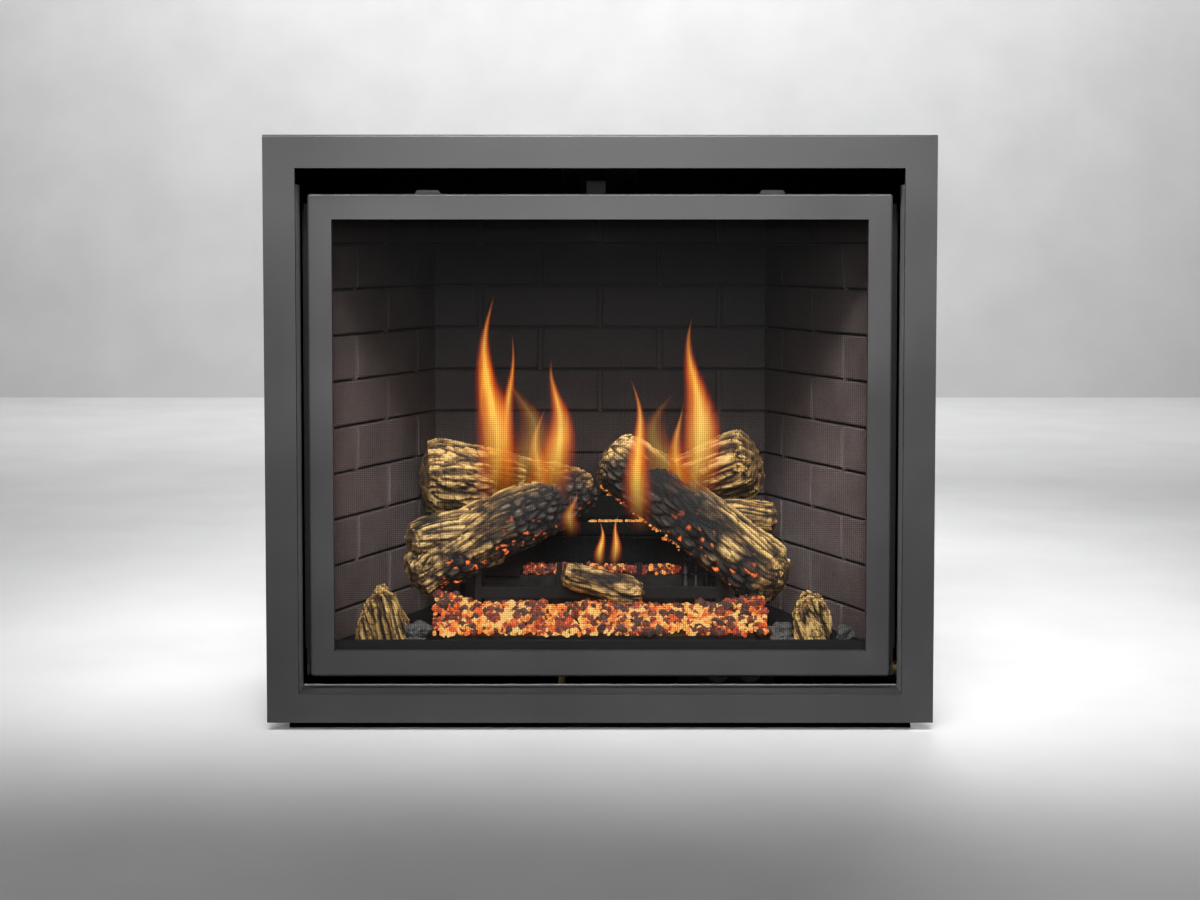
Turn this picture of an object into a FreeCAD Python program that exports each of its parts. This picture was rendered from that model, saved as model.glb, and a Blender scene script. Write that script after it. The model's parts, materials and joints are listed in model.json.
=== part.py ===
"""Built-in direct-vent gas fireplace with a log set, made as separate pieces.

Millimetres, +Z up, the front faces -Y, and the origin is the middle of the underside.
A recess is a distance behind the front face of the trim surround.
"""
import FreeCAD, Part
import math
import os

V = FreeCAD.Vector
UP = V(0, 0, 1)
BACK = V(0, 1, 0)
RIGHT = V(1, 0, 0)
QUARTER_TURN = 90.0

# General
DEPTH = 520.0
SHEET = 1.5
CUT = 5.0
FIT = 0.3
RUNNING = 0.05

# Trim surround
TRIM_WIDTH = 1000.0
TRIM_TOP_RISE = 24.0
TRIM_BOTTOM = 12.0
TRIM_SIDE_BAR = 47.5
TRIM_TOP_BAR = 49.5
TRIM_BOTTOM_BAR = 43.0
TRIM_DEPTH = 8.0
TRIM_WALL = 2.0
TRIM_TOP_WALL = 6.0
TRIM_TOP_ROUND = 4.0
TRIM_OVERHANG = 30.0
RETURN_DEPTH = 50.0
RETURN_TOP_GAP = 24.0
LEDGE_DEPTH = 60.0
LEDGE_LIP = 2.5
LEDGE_LIP_ROUND = 0.7

# Outer casing
CASING_HEIGHT = 868.0
CASING_RECESS = 20.0
FLANGE_WIDTH = 25.0
FLANGE_LEG = 24.0
FLANGE_BOTTOM = 110.0
FLANGE_TOP_GAP = 98.0
FLANGE_HOLE_INSET = 30.0
FLANGE_HOLE_RADIUS = 2.5
SCREW_HEAD_RADIUS = 5.0
SCREW_HEAD_HEIGHT = 2.5
SCREW_INSET = 40.0
SCREW_ROWS = 4

# Firebox
FACE_RECESS = 72.0
FACE_SIDE_GAP = 2.5
FACE_SIDE_BAR = 26.0
FACE_BOTTOM = 88.0
FACE_TOP_GAP = 77.0
FACE_TOP_BAR = 13.0
FLOOR_TOP = 112.0
LINER_RECESS = 80.0
LINER_SPLAY = 144.0
LINER_REAR_SPACE = 95.0
LINER_THICKNESS = 22.0
SUPPORT_HALF_SHARE = 0.7783
SUPPORT_FRONT = 90.0
SUPPORT_LENGTH_SHARE = 0.7536

# Brick liner
COURSE = 71.5
TOP_COURSE = 47.0
BRICK_PITCH = 203.0
RAKE_HEIGHT = 4.0
RAKE_DEPTH = 7.0
HEAD_JOINT = 8.0
HEAD_JOINT_DEPTH = 1.5
SIDE_JOINT_START = 66.0

# Vent collars
FLUE_REAR_SPACE = 190.0
FLUE_INNER_RADIUS = 62.5
FLUE_WALL = 1.0
FLUE_RISE = 32.0
AIR_INNER_RADIUS = 100.0
AIR_WALL = 1.5
AIR_HEIGHT = 30.0
AIR_FLANGE = 18.0

# Bracket in the hot-air slot
HOOD_BRACKET_WIDTH = 29.0
HOOD_BRACKET_OFFSET = -6.0
HOOD_BRACKET_GAP = 42.0
HOOD_BRACKET_FOOT = 26.0

# Glass door
DOOR_SIDE_GAP = 16.5
DOOR_BOTTOM = 72.0
DOOR_TOP_LAP = 9.0
DOOR_RECESS = 44.0
DOOR_DEPTH = 24.0
DOOR_SKIN = 2.0
DOOR_SIDE_BAR = 26.0
DOOR_OPENING_BOTTOM = 127.0
DOOR_TOP_BAR = 28.0
REBATE_SIDE_INSET = 10.0
REBATE_BOTTOM = 100.0
REBATE_TOP_INSET = 20.0
REBATE_DEPTH = 12.0
GROOVE_WIDTH = 6.0
GROOVE_DEPTH = 14.0
GROOVE_INSET = 2.0
GROOVE_BOTTOM_INSET = 19.0
GROOVE_TOP_INSET = 11.0
GASKET_GAP = 0.1
GLASS_THICKNESS = 5.0
GLASS_GAP = 1.0
CLIP_LENGTH = 34.0
CLIP_GRIP = 10.0
CLIP_THICKNESS = 2.0
CLIP_ROWS = 3
PIVOT_RECESS = 49.0
PIVOT_HEIGHT = 84.0
PIVOT_RADIUS = 4.0
PIVOT_LENGTH = 18.0
PIVOT_SINK = 8.0
PIVOT_LUG = 4.0
PIVOT_LUG_GAP = 5.0
PIVOT_LUG_REACH = 8.0
PIVOT_PRESS = 0.02

# Barrier screen
SCREEN_SIDE_GAP = 14.0
SCREEN_BOTTOM = 76.0
SCREEN_TOP_LAP = 5.0
SCREEN_RECESS = 30.0
SCREEN_DEPTH = 12.0
SCREEN_SIDE_BAR = 36.0
SCREEN_CROSS_BAR = 38.0
SCREEN_WALL = 2.0
SCREEN_ROUND = 3.0
SCREEN_CORNER = 4.5
MESH_THICKNESS = 0.8
MESH_LAP = 10.0
MESH_COLUMNS = 20
MESH_ROWS = 15
MESH_STRAND = 3.0
HOOK_OFFSET_SHARE = 0.5906
HOOK_WIDTH = 40.0
HOOK_TAPER = 4.0
HOOK_LAP = 19.0
HOOK_TAB = 6.0
HOOK_DROP = 7.0

# Burner
TRAY_HALF_SHARE = 0.566
TRAY_RECESS = 95.0
TRAY_DEPTH_SHARE = 0.2609
TRAY_HEIGHT = 12.0
REAR_BURNER_HALF_SHARE = 0.3066038
REAR_BURNER_SHARE = 0.429
REAR_BURNER_DEPTH_SHARE = 0.1739
REAR_BURNER_HEIGHT = 84.0
BRIDGE_HALF = 30.0
BRIDGE_HEIGHT = 10.0
BURNER_WALL = 1.2
PORT_RADIUS = 1.6
PORTS = 14
VENTURI_X = -60.0
VENTURI_RECESS = 140.0
VENTURI_RADIUS = 14.0
VENTURI_WALL = 1.5
VENTURI_LENGTH = 52.5
VENTURI_FLANGE = 10.0
VENTURI_LIP = 2.5
SHUTTER_WALL = 2.0
SHUTTER_HEIGHT = 24.0
AIR_WINDOW_WIDTH = 12.0
AIR_WINDOW_HEIGHT = 14.0
SHUTTER_TAB = 12.0
SHUTTER_TAB_WIDTH = 10.0
ORIFICE_RADIUS = 8.0
ORIFICE_LENGTH = 18.0
NOZZLE_RADIUS = 5.0
NOZZLE_LENGTH = 6.0
JET_RADIUS = 1.2

# Gas controls
VALVE_PILOT_INSET = 5.0
VALVE_WIDTH = 110.0
VALVE_RECESS = 107.0
VALVE_DEPTH = 58.0
VALVE_BOTTOM = 45.0
VALVE_HEIGHT = 50.0
VALVE_ROUND = 4.0
BRACKET_SHEET = 2.0
BRACKET_OVERHANG = 30.0
BRACKET_WIDTH = 150.0
BRACKET_TOP = 95.0
BRACKET_FOOT = 20.0
KNOB_HEIGHT = 70.0
GAS_KNOB_INSET = 32.0
KNOB_SPACING = 50.0
KNOB_RADIUS = 17.0
KNOB_LENGTH = 20.0
KNOB_ROUND = 1.5
KNOB_GRIP = 5.0
KNOB_GRIP_WIDTH = 8.0
STEM_RADIUS = 4.0
STEM_LENGTH = 12.0
STEM_HOLE = 6.0
PIEZO_GAP = 12.0
PIEZO_RADIUS = 9.0
PIEZO_LENGTH = 47.0
PIEZO_FLANGE_RADIUS = 12.0
PIEZO_FLANGE = 2.0
PIEZO_BORE_DEPTH = 22.0
BUTTON_RADIUS = 6.0
BUTTON_LENGTH = 20.0
BUTTON_PROUD = 11.0
BUTTON_ROUND = 1.0
LINE_RECESS = 150.0
LINE_HEIGHT = 60.0
LINE_RADIUS = 6.0
SUPPLY_RADIUS = 5.0
SUPPLY_HEIGHT = 22.0
SUPPLY_RECESS = 140.0
SUPPLY_BEND = 14.0
SUPPLY_INSET = 15.0
PILOT_TUBE_RADIUS = 2.2
PILOT_TUBE_BEND = 18.0
SHUTOFF_INSET = 88.5
SHUTOFF_LENGTH = 40.0
SHUTOFF_RADIUS = 12.0
SHUTOFF_BOSS_RADIUS = 8.0
SHUTOFF_BOSS = 20.0
LEVER_LENGTH = 50.0
LEVER_WIDTH = 12.0
LEVER_THICKNESS = 4.0
INLET_RADIUS = 15.0
INLET_LENGTH = 22.0
INLET_PROUD = 4.0
INLET_BORE_RADIUS = 9.3
INLET_BORE_DEPTH = 16.0
GAS_WAY_RADIUS = 4.0

# Pilot
PILOT_GAP_SHARE = 0.1923077
PILOT_SETBACK = 7.0
PILOT_LOG_SHARE = 0.24
PILOT_CLEARANCE = 23.84
PILOT_PLATE_WIDTH_SHARE = 0.3692
PILOT_PLATE_DEPTH = 16.0
PILOT_HOOD_RADIUS = 6.0
PILOT_HOOD_RISE = 12.0
PILOT_HOOD_BEND = 10.0
PILOT_HOOD_NOSE = 8.0
PILOT_SPACING_SHARE = 0.13077
THERMOPILE_RADIUS = 4.5
THERMOPILE_ABOVE = 10.0
THERMOPILE_BELOW = 40.0
ELECTRODE_RADIUS = 3.0
ELECTRODE_BELOW = 24.0
ELECTRODE_ABOVE = 10.0
ELECTRODE_WIRE = 1.0
SPARK_GAP = 2.0

# Grate and rear log stand
GRATE_HALF_SHARE = 0.4717
GRATE_SHARE = 0.3333
GRATE_BAR = 10.0
GRATE_BAR_HEIGHT = 19.0
GRATE_RISE = 52.0
FINGER_HEIGHT = 38.0
FINGER_SHARES = (-0.97, -0.325, 0.315, 0.945)
FINGER_WIDTH = 9.0
ARM_LENGTH_SHARE = 0.2464
STAND_HALF_SHARE = 0.5425
STAND_SHARE = 0.6377
STAND_DEPTH_SHARE = 0.2609
STAND_LOG_SHARE = 0.3
STAND_RADIUS_SHARE = 0.84
STAND_LAP = 2.2

# Logs: stations as shares of the liner's half width and depth, of the log set's height, and of the log radius
LOG_RADIUS = 50.0
LOG_SET_HEIGHT = 666.0
REAR_LEFT_SHARES = (
    (-0.665, 0.62, 0.352, 1.06),
    (-0.61, 0.63, 0.350, 1.26),
    (-0.38, 0.68, 0.330, 1.08),
    (-0.10, 0.74, 0.300, 0.84),
)
FRONT_LEFT_SHARES = (
    (-0.038, 0.61, 0.33, 0.56),
    (-0.19, 0.54, 0.296, 0.92),
    (-0.377, 0.458, 0.246, 1.02),
    (-0.55, 0.377, 0.19, 0.98),
    (-0.69, 0.307, 0.132, 0.70),
)
FRONT_LEFT_FORK_SHARES = (
    (-0.50, 0.40, 0.226, 0.80),
    (-0.62, 0.345, 0.224, 0.74),
    (-0.70, 0.31, 0.213, 0.62),
)
FRONT_RIGHT_SHARES = (
    (0.04, 0.50, 0.415, 0.72),
    (0.085, 0.485, 0.395, 1.02),
    (0.27, 0.44, 0.31, 1.0),
    (0.46, 0.385, 0.215, 1.0),
    (0.62, 0.33, 0.14, 0.98),
    (0.675, 0.315, 0.122, 0.70),
)
FRONT_RIGHT_STUB_SHARES = (
    (0.40, 0.46, 0.27, 0.50),
    (0.55, 0.45, 0.268, 0.54),
    (0.655, 0.44, 0.265, 0.48),
)
REAR_RIGHT_SHARES = (
    (0.24, 0.745, 0.30, 0.86),
    (0.40, 0.70, 0.345, 0.96),
    (0.55, 0.655, 0.384, 1.06),
    (0.59, 0.643, 0.394, 0.90),
)
SMALL_LOG_RADIUS = 22.0
SMALL_LOG_SHARES = (
    (-0.13, 0.145, 0.84),
    (-0.11, 0.14, 1.0),
    (0.12, 0.10, 1.0),
    (0.15, 0.094, 0.84),
)

# Loose chunks, rocks and embers
CHUNK_RECESS_SHARE = 0.058
CHUNK_DEPTH_SHARE = 0.1391
CHUNK_TAPER_SHARE = 0.8
LEFT_CHUNK_SHARE = 0.8962
LEFT_CHUNK_WIDTH_SHARE = 0.1887
LEFT_CHUNK_HEIGHT = 80.0
LEFT_CHUNK_SHARES = ((0, 0), (0.08, 0.42), (0.45, 1), (0.74, 0.82), (1, 0.24), (0.96, 0))
RIGHT_CHUNK_SHARE = 0.7123
RIGHT_CHUNK_WIDTH_SHARE = 0.1392
RIGHT_CHUNK_HEIGHT = 70.0
RIGHT_CHUNK_SHARES = ((0, 0), (0.02, 0.62), (0.36, 1), (0.78, 0.84), (1, 0.36), (0.94, 0))
ROCK_WIDTH_SHARE = 0.0802
ROCK_HEIGHT = 38.0
ROCK_DEPTH = 40.0
ROCK_SHARES = ((-0.664, 0.13, 1), (0.664, 0.12, 1), (0.896, 0.09, 0.55), (-0.79, 0.27, 0.7))
EMBER_HALF_SHARE = 0.618
EMBER_RECESS = 90.0
EMBER_DEPTH_SHARE = 0.29
EMBER_HEIGHT = 44.0
EMBER_FRONT = 9.0
EMBER_CREST_SHARE = 0.75
EMBER_BACK_SHARE = 0.8
EMBER_SECTION_SHARES = (-1, -0.92, -0.72, -0.36, 0, 0.36, 0.72, 0.92, 1)
EMBER_CROWN_SHARES = (0.75, 1.25, 1.1, 0.88, 0.92, 0.86, 1.1, 1.25, 0.75)
REAR_EMBER_HEIGHT = 11.0
REAR_EMBER_INSET = 4.0

# Places worked out from the sizes above: widths
TRIM_HALF = TRIM_WIDTH / 2
OPENING_HALF = TRIM_HALF - TRIM_SIDE_BAR
CASING_HALF = TRIM_HALF - TRIM_OVERHANG
CASING_INSIDE = CASING_HALF - SHEET
FACE_HALF = OPENING_HALF - FACE_SIDE_GAP
LINER_FRONT_HALF = FACE_HALF - FACE_SIDE_BAR
LINER_BACK_HALF = LINER_FRONT_HALF - LINER_SPLAY
DOOR_HALF = OPENING_HALF - DOOR_SIDE_GAP
DOOR_OPENING_HALF = DOOR_HALF - DOOR_SIDE_BAR
REBATE_HALF = DOOR_HALF - REBATE_SIDE_INSET
SCREEN_HALF = OPENING_HALF - SCREEN_SIDE_GAP
HOOK_OFFSET = SCREEN_HALF * HOOK_OFFSET_SHARE
SUPPORT_HALF = LINER_FRONT_HALF * SUPPORT_HALF_SHARE
TRAY_HALF = LINER_FRONT_HALF * TRAY_HALF_SHARE
EMBER_HALF = LINER_FRONT_HALF * EMBER_HALF_SHARE
REAR_BURNER_HALF = LINER_FRONT_HALF * REAR_BURNER_HALF_SHARE
GRATE_HALF = LINER_FRONT_HALF * GRATE_HALF_SHARE
STAND_HALF = LINER_FRONT_HALF * STAND_HALF_SHARE
LEFT_CHUNK_X = -LINER_FRONT_HALF * LEFT_CHUNK_SHARE
RIGHT_CHUNK_X = LINER_FRONT_HALF * RIGHT_CHUNK_SHARE
LEFT_CHUNK_WIDTH = LINER_FRONT_HALF * LEFT_CHUNK_WIDTH_SHARE
RIGHT_CHUNK_WIDTH = LINER_FRONT_HALF * RIGHT_CHUNK_WIDTH_SHARE
ROCK_WIDTH = LINER_FRONT_HALF * ROCK_WIDTH_SHARE
PILOT_X = REAR_BURNER_HALF * (1 + PILOT_GAP_SHARE)
PILOT_PLATE_WIDTH = REAR_BURNER_HALF * PILOT_PLATE_WIDTH_SHARE
PILOT_SPACING = REAR_BURNER_HALF * PILOT_SPACING_SHARE
THERMOPILE_X = PILOT_X + PILOT_SPACING
ELECTRODE_X = PILOT_X - PILOT_SPACING
VALVE_LEFT = PILOT_X - VALVE_PILOT_INSET
BRACKET_LEFT = VALVE_LEFT - BRACKET_OVERHANG
PIEZO_X = VALVE_LEFT - PIEZO_GAP
GAS_KNOB_X = VALVE_LEFT + GAS_KNOB_INSET
FLAME_KNOB_X = GAS_KNOB_X + KNOB_SPACING
SHUTOFF_X = CASING_INSIDE - SHUTOFF_INSET

# Heights
TRIM_TOP = CASING_HEIGHT + TRIM_TOP_RISE
OPENING_TOP = TRIM_TOP - TRIM_TOP_BAR
OPENING_BOTTOM = TRIM_BOTTOM + TRIM_BOTTOM_BAR
FLANGE_LENGTH = CASING_HEIGHT - FLANGE_BOTTOM - FLANGE_TOP_GAP
FLANGE_MIDDLE = FLANGE_BOTTOM + FLANGE_LENGTH / 2
FLANGE_HOLE_SPACING = FLANGE_LENGTH - FLANGE_HOLE_INSET * 2
FACE_TOP = CASING_HEIGHT - FACE_TOP_GAP
CEILING = FACE_TOP - FACE_TOP_BAR
COURSE_TOP = CEILING - TOP_COURSE
HOOD_BRACKET_TOP = CASING_HEIGHT - HOOD_BRACKET_GAP
FLUE_TOP = CASING_HEIGHT + FLUE_RISE
DOOR_TOP = FACE_TOP + DOOR_TOP_LAP
DOOR_OPENING_TOP = DOOR_TOP - DOOR_TOP_BAR
REBATE_TOP = DOOR_TOP - REBATE_TOP_INSET
SCREEN_TOP = DOOR_TOP + SCREEN_TOP_LAP
HOOK_LOW = SCREEN_TOP - HOOK_LAP
UNDER_FLOOR = FLOOR_TOP - SHEET
GRATE_BAR_LOW = FLOOR_TOP + GRATE_RISE
GRATE_BAR_TOP = GRATE_BAR_LOW + GRATE_BAR_HEIGHT
STAND_HEIGHT = LOG_SET_HEIGHT * STAND_LOG_SHARE - LOG_RADIUS * STAND_RADIUS_SHARE + STAND_LAP
STAND_TOP = FLOOR_TOP + STAND_HEIGHT
PILOT_PLATE_HEIGHT = LOG_SET_HEIGHT * PILOT_LOG_SHARE - LOG_RADIUS - PILOT_CLEARANCE
ELECTRODE_WIRE_LENGTH = PILOT_HOOD_RISE + PILOT_HOOD_BEND - PILOT_HOOD_RADIUS - SPARK_GAP - ELECTRODE_ABOVE

# Depths
FACE_BACK = FACE_RECESS + SHEET
LINER_BACK = DEPTH - LINER_REAR_SPACE
LINER_DEPTH = LINER_BACK - LINER_RECESS
LINER_SLOPE = LINER_SPLAY / LINER_DEPTH
LINER_ANGLE = math.atan(LINER_SLOPE)
SHELL_BACK = LINER_BACK + LINER_THICKNESS
SUPPORT_LENGTH = LINER_DEPTH * SUPPORT_LENGTH_SHARE
FLUE_RECESS = DEPTH - FLUE_REAR_SPACE
DOOR_BACK = DOOR_RECESS + DOOR_DEPTH
REBATE_RECESS = DOOR_BACK - REBATE_DEPTH
SCREEN_BACK = SCREEN_RECESS + SCREEN_DEPTH
BRACKET_RECESS = VALVE_RECESS - BRACKET_SHEET
TRAY_DEPTH = LINER_DEPTH * TRAY_DEPTH_SHARE
REAR_BURNER_RECESS = LINER_RECESS + LINER_DEPTH * REAR_BURNER_SHARE
REAR_BURNER_DEPTH = LINER_DEPTH * REAR_BURNER_DEPTH_SHARE
PILOT_RECESS = REAR_BURNER_RECESS + PILOT_SETBACK
GRATE_RECESS = LINER_RECESS + LINER_DEPTH * GRATE_SHARE
ARM_LENGTH = LINER_DEPTH * ARM_LENGTH_SHARE
STAND_RECESS = LINER_RECESS + LINER_DEPTH * STAND_SHARE
STAND_DEPTH = LINER_DEPTH * STAND_DEPTH_SHARE
EMBER_DEPTH = LINER_DEPTH * EMBER_DEPTH_SHARE
CHUNK_RECESS = LINER_RECESS + LINER_DEPTH * CHUNK_RECESS_SHARE
CHUNK_DEPTH = LINER_DEPTH * CHUNK_DEPTH_SHARE


def at_recess(recess):
    """Y of a plane this far behind the front of the trim."""
    return recess - DEPTH / 2


def place(x, recess, z):
    return V(x, at_recess(recess), z)


def block(x0, x1, recess0, recess1, z0, z1):
    return Part.makeBox(x1 - x0, recess1 - recess0, z1 - z0, place(x0, recess0, z0))


def picture_frame(outer, inner, recess0, recess1):
    """A rectangular ring; outer and inner are (half width, bottom, top)."""
    ring = block(-outer[0], outer[0], recess0, recess1, outer[1], outer[2])
    return ring.cut(block(-inner[0], inner[0], recess0 - CUT, recess1 + CUT, inner[1], inner[2]))


def rod(start, end, radius):
    run = end.sub(start)
    return Part.makeCylinder(radius, run.Length, start, run)


def pipe(start, end, outer, inner):
    run = end.sub(start).normalize().multiply(CUT)
    return rod(start, end, outer).cut(rod(start.sub(run), end.add(run), inner))


def plan_prism(points, z0, z1):
    """A flat outline of (x, recess) points raised from z0 to z1."""
    corners = [place(x, recess, z0) for x, recess in points]
    outline = Part.makePolygon(corners + corners[:1])
    return Part.Face(outline).extrude(V(0, 0, z1 - z0))


def bent_rod(points, radius, bend):
    """A round bar with square bends: straight runs joined by tangent arcs."""
    edges = []
    start = points[0]
    for corner, after in zip(points[1:-1], points[2:]):
        ahead = after.sub(corner).normalize() * bend
        behind = start.sub(corner).normalize() * bend
        turn_in = corner.add(behind)
        turn_out = corner.add(ahead)
        centre = turn_in.add(ahead)
        crown = centre.add(corner.sub(centre).normalize() * bend)
        edges.append(Part.LineSegment(start, turn_in).toShape())
        edges.append(Part.Arc(turn_in, crown, turn_out).toShape())
        start = turn_out
    edges.append(Part.LineSegment(start, points[-1]).toShape())
    section = Part.Wire(Part.Circle(points[0], points[1].sub(points[0]), radius).toShape())
    return Part.Wire(edges).makePipeShell([section], True, False)


def mirrored(shape):
    return shape.mirror(V(0, 0, 0), RIGHT)


def group(shapes):
    return Part.makeCompound(shapes)


def round_edges(shape, radius, chosen):
    """Fillet the edges for which chosen(edge) is true."""
    return shape.makeFillet(radius, [edge for edge in shape.Edges if chosen(edge)])


def along(edge, axis):
    """True for a straight edge that runs along the axis."""
    ends = [vertex.Point for vertex in edge.Vertexes]
    if len(ends) < 2:
        return False
    run = ends[1].sub(ends[0])
    return run.cross(axis).Length < FIT and abs(run.Length - edge.Length) < FIT


def save(name, shape):
    shape.exportStep("parts/" + name + ".step")
    print(name, len(shape.Solids), round(shape.Volume), shape.isValid())


# Outer casing

def base_pan():
    return block(-CASING_HALF, CASING_HALF, CASING_RECESS, DEPTH, 0, SHEET)


def casing_side():
    """The right side; the left one is its mirror image."""
    return block(CASING_INSIDE, CASING_HALF, CASING_RECESS, DEPTH, SHEET, CASING_HEIGHT - SHEET)


def inlet_hole():
    start = place(CASING_INSIDE - CUT, LINE_RECESS, LINE_HEIGHT)
    return rod(start, place(CASING_HALF + CUT, LINE_RECESS, LINE_HEIGHT), INLET_RADIUS + RUNNING)


def casing_back():
    inside = CASING_INSIDE
    return block(-inside, inside, DEPTH - SHEET, DEPTH, SHEET, CASING_HEIGHT - SHEET)


def casing_top():
    low = CASING_HEIGHT - SHEET
    plate = block(-CASING_HALF, CASING_HALF, CASING_RECESS, DEPTH, low, CASING_HEIGHT)
    vent = rod(place(0, FLUE_RECESS, low - CUT), place(0, FLUE_RECESS, CASING_HEIGHT + CUT), AIR_INNER_RADIUS)
    return plate.cut(vent)


def nailing_flange():
    """The right flange: an angle on the casing's side with two screw holes."""
    low = FLANGE_MIDDLE - FLANGE_LENGTH / 2
    high = FLANGE_MIDDLE + FLANGE_LENGTH / 2
    leg = block(CASING_HALF, CASING_HALF + SHEET, CASING_RECESS, CASING_RECESS + FLANGE_LEG, low, high)
    face = block(CASING_HALF, CASING_HALF + FLANGE_WIDTH, CASING_RECESS, CASING_RECESS + SHEET, low, high)
    flange = leg.fuse(face).removeSplitter()
    hole_x = CASING_HALF + FLANGE_WIDTH / 2
    for side in (-1, 1):
        z = FLANGE_MIDDLE + side * FLANGE_HOLE_SPACING / 2
        start = place(hole_x, CASING_RECESS - CUT, z)
        flange = flange.cut(rod(start, place(hole_x, CASING_RECESS + SHEET + CUT, z), FLANGE_HOLE_RADIUS))
    return flange


def casing_screws():
    """Round heads down the front and rear edges of both sides."""
    heads = []
    front = CASING_RECESS + FLANGE_LEG + SCREW_INSET
    step = (CASING_HEIGHT - 2 * SCREW_INSET) / (SCREW_ROWS - 1)
    for recess in (front, DEPTH - SCREW_INSET):
        for row in range(SCREW_ROWS):
            start = place(CASING_HALF, recess, SCREW_INSET + row * step)
            head = Part.makeCylinder(SCREW_HEAD_RADIUS, SCREW_HEAD_HEIGHT, start, RIGHT)
            heads += [head, mirrored(head)]
    return group(heads)


# Firebox shell and brick liner

def wall_x(recess, offset):
    """X of the right slanted wall at a recess, moved outwards by an offset square to it."""
    inner = LINER_FRONT_HALF - (recess - LINER_RECESS) * LINER_SLOPE
    return inner + offset / math.cos(LINER_ANGLE)


def slanted_wall(front, back, inner, outer, z0, z1):
    corners = [(wall_x(front, inner), front), (wall_x(back, inner), back),
               (wall_x(back, outer), back), (wall_x(front, outer), front)]
    return plan_prism(corners, z0, z1)


def firebox_plan(z0, z1):
    """The shell's outline seen from above, as a plate."""
    outer = LINER_THICKNESS + SHEET
    back = SHELL_BACK + SHEET
    front_x = wall_x(FACE_BACK, outer)
    back_x = wall_x(back, outer)
    return plan_prism([(-front_x, FACE_BACK), (front_x, FACE_BACK), (back_x, back), (-back_x, back)], z0, z1)


def firebox_face():
    outer = (FACE_HALF, FACE_BOTTOM, FACE_TOP)
    return picture_frame(outer, (LINER_FRONT_HALF, FLOOR_TOP, CEILING), FACE_RECESS, FACE_BACK)


def firebox_floor():
    plate = firebox_plan(UNDER_FLOOR, FLOOR_TOP)
    for x, recess, radius in ((VENTURI_X, VENTURI_RECESS, VENTURI_RADIUS),
                              (PILOT_X, PILOT_RECESS, PILOT_TUBE_RADIUS)):
        hole = rod(place(x, recess, UNDER_FLOOR - CUT), place(x, recess, FLOOR_TOP + CUT), radius + FIT)
        plate = plate.cut(hole)
    return plate


def firebox_ceiling():
    plate = firebox_plan(CEILING, CEILING + SHEET)
    start = place(0, FLUE_RECESS, CEILING - CUT)
    return plate.cut(rod(start, place(0, FLUE_RECESS, CEILING + SHEET + CUT), FLUE_INNER_RADIUS))


def firebox_wall():
    """The right shell wall; the left one is its mirror image."""
    back = SHELL_BACK + SHEET
    return slanted_wall(FACE_BACK, back, LINER_THICKNESS, LINER_THICKNESS + SHEET, FLOOR_TOP, CEILING)


def firebox_back_wall():
    back = SHELL_BACK + SHEET
    front_x = wall_x(SHELL_BACK, LINER_THICKNESS)
    back_x = wall_x(back, LINER_THICKNESS)
    corners = [(-front_x, SHELL_BACK), (front_x, SHELL_BACK), (back_x, back), (-back_x, back)]
    return plan_prism(corners, FLOOR_TOP, CEILING)


def floor_supports():
    plate = block(SUPPORT_HALF, SUPPORT_HALF + SHEET, SUPPORT_FRONT, SUPPORT_FRONT + SUPPORT_LENGTH,
                  SHEET, UNDER_FLOOR)
    start = place(SUPPORT_HALF - CUT, LINE_RECESS, LINE_HEIGHT)
    line = rod(start, place(SUPPORT_HALF + SHEET + CUT, LINE_RECESS, LINE_HEIGHT), LINE_RADIUS + FIT)
    return group([plate.cut(line), mirrored(plate)])


def course_lines():
    """Number and height of each bed joint on the liner, and of the one just above it."""
    above = math.ceil((COURSE_TOP - CEILING) / COURSE) - 1
    last = math.floor((COURSE_TOP - FLOOR_TOP) / COURSE)
    return [(number, COURSE_TOP - number * COURSE) for number in range(above, last + 1)]


def head_joints(start, length):
    """Places of the head joints along a course, from its first one to past its end."""
    count = math.ceil((length - start) / BRICK_PITCH) + 1
    return [start + number * BRICK_PITCH for number in range(count)]


def joint_cutters(length, even_start, odd_start, reach):
    """Joints for a panel that runs along +X from 0 and faces -Y.

    The deep bed joints stop short of the head joints of the course above, which run down past them.
    """
    cutters = []
    starts = (even_start, odd_start)
    for number, z in course_lines():
        for head in head_joints(starts[(number + 1) % 2], length):
            low = max(head - BRICK_PITCH + HEAD_JOINT / 2, -reach)
            high = min(head - HEAD_JOINT / 2, length + reach)
            if high > low:
                corner = V(low, -CUT, z - RAKE_HEIGHT / 2)
                cutters.append(Part.makeBox(high - low, RAKE_DEPTH + CUT, RAKE_HEIGHT, corner))
        for head in head_joints(starts[number % 2], length):
            if 0 < head < length:
                corner = V(head - HEAD_JOINT / 2, -CUT, z - COURSE - RAKE_HEIGHT / 2)
                cutters.append(Part.makeBox(HEAD_JOINT, HEAD_JOINT_DEPTH + CUT, COURSE, corner))
    return group(cutters)


def side_brick_panel():
    """The right panel; bricks run along its slanted face."""
    panel = slanted_wall(FACE_BACK, LINER_BACK, 0, LINER_THICKNESS, FLOOR_TOP, CEILING)
    length = LINER_DEPTH / math.cos(LINER_ANGLE)
    half_brick = BRICK_PITCH / 2
    joints = joint_cutters(length, SIDE_JOINT_START, SIDE_JOINT_START - half_brick, CUT)
    joints.rotate(V(0, 0, 0), UP, math.degrees(LINER_ANGLE) - QUARTER_TURN)
    joints.translate(place(LINER_BACK_HALF, LINER_BACK, 0))
    return panel.cut(joints)


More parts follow.
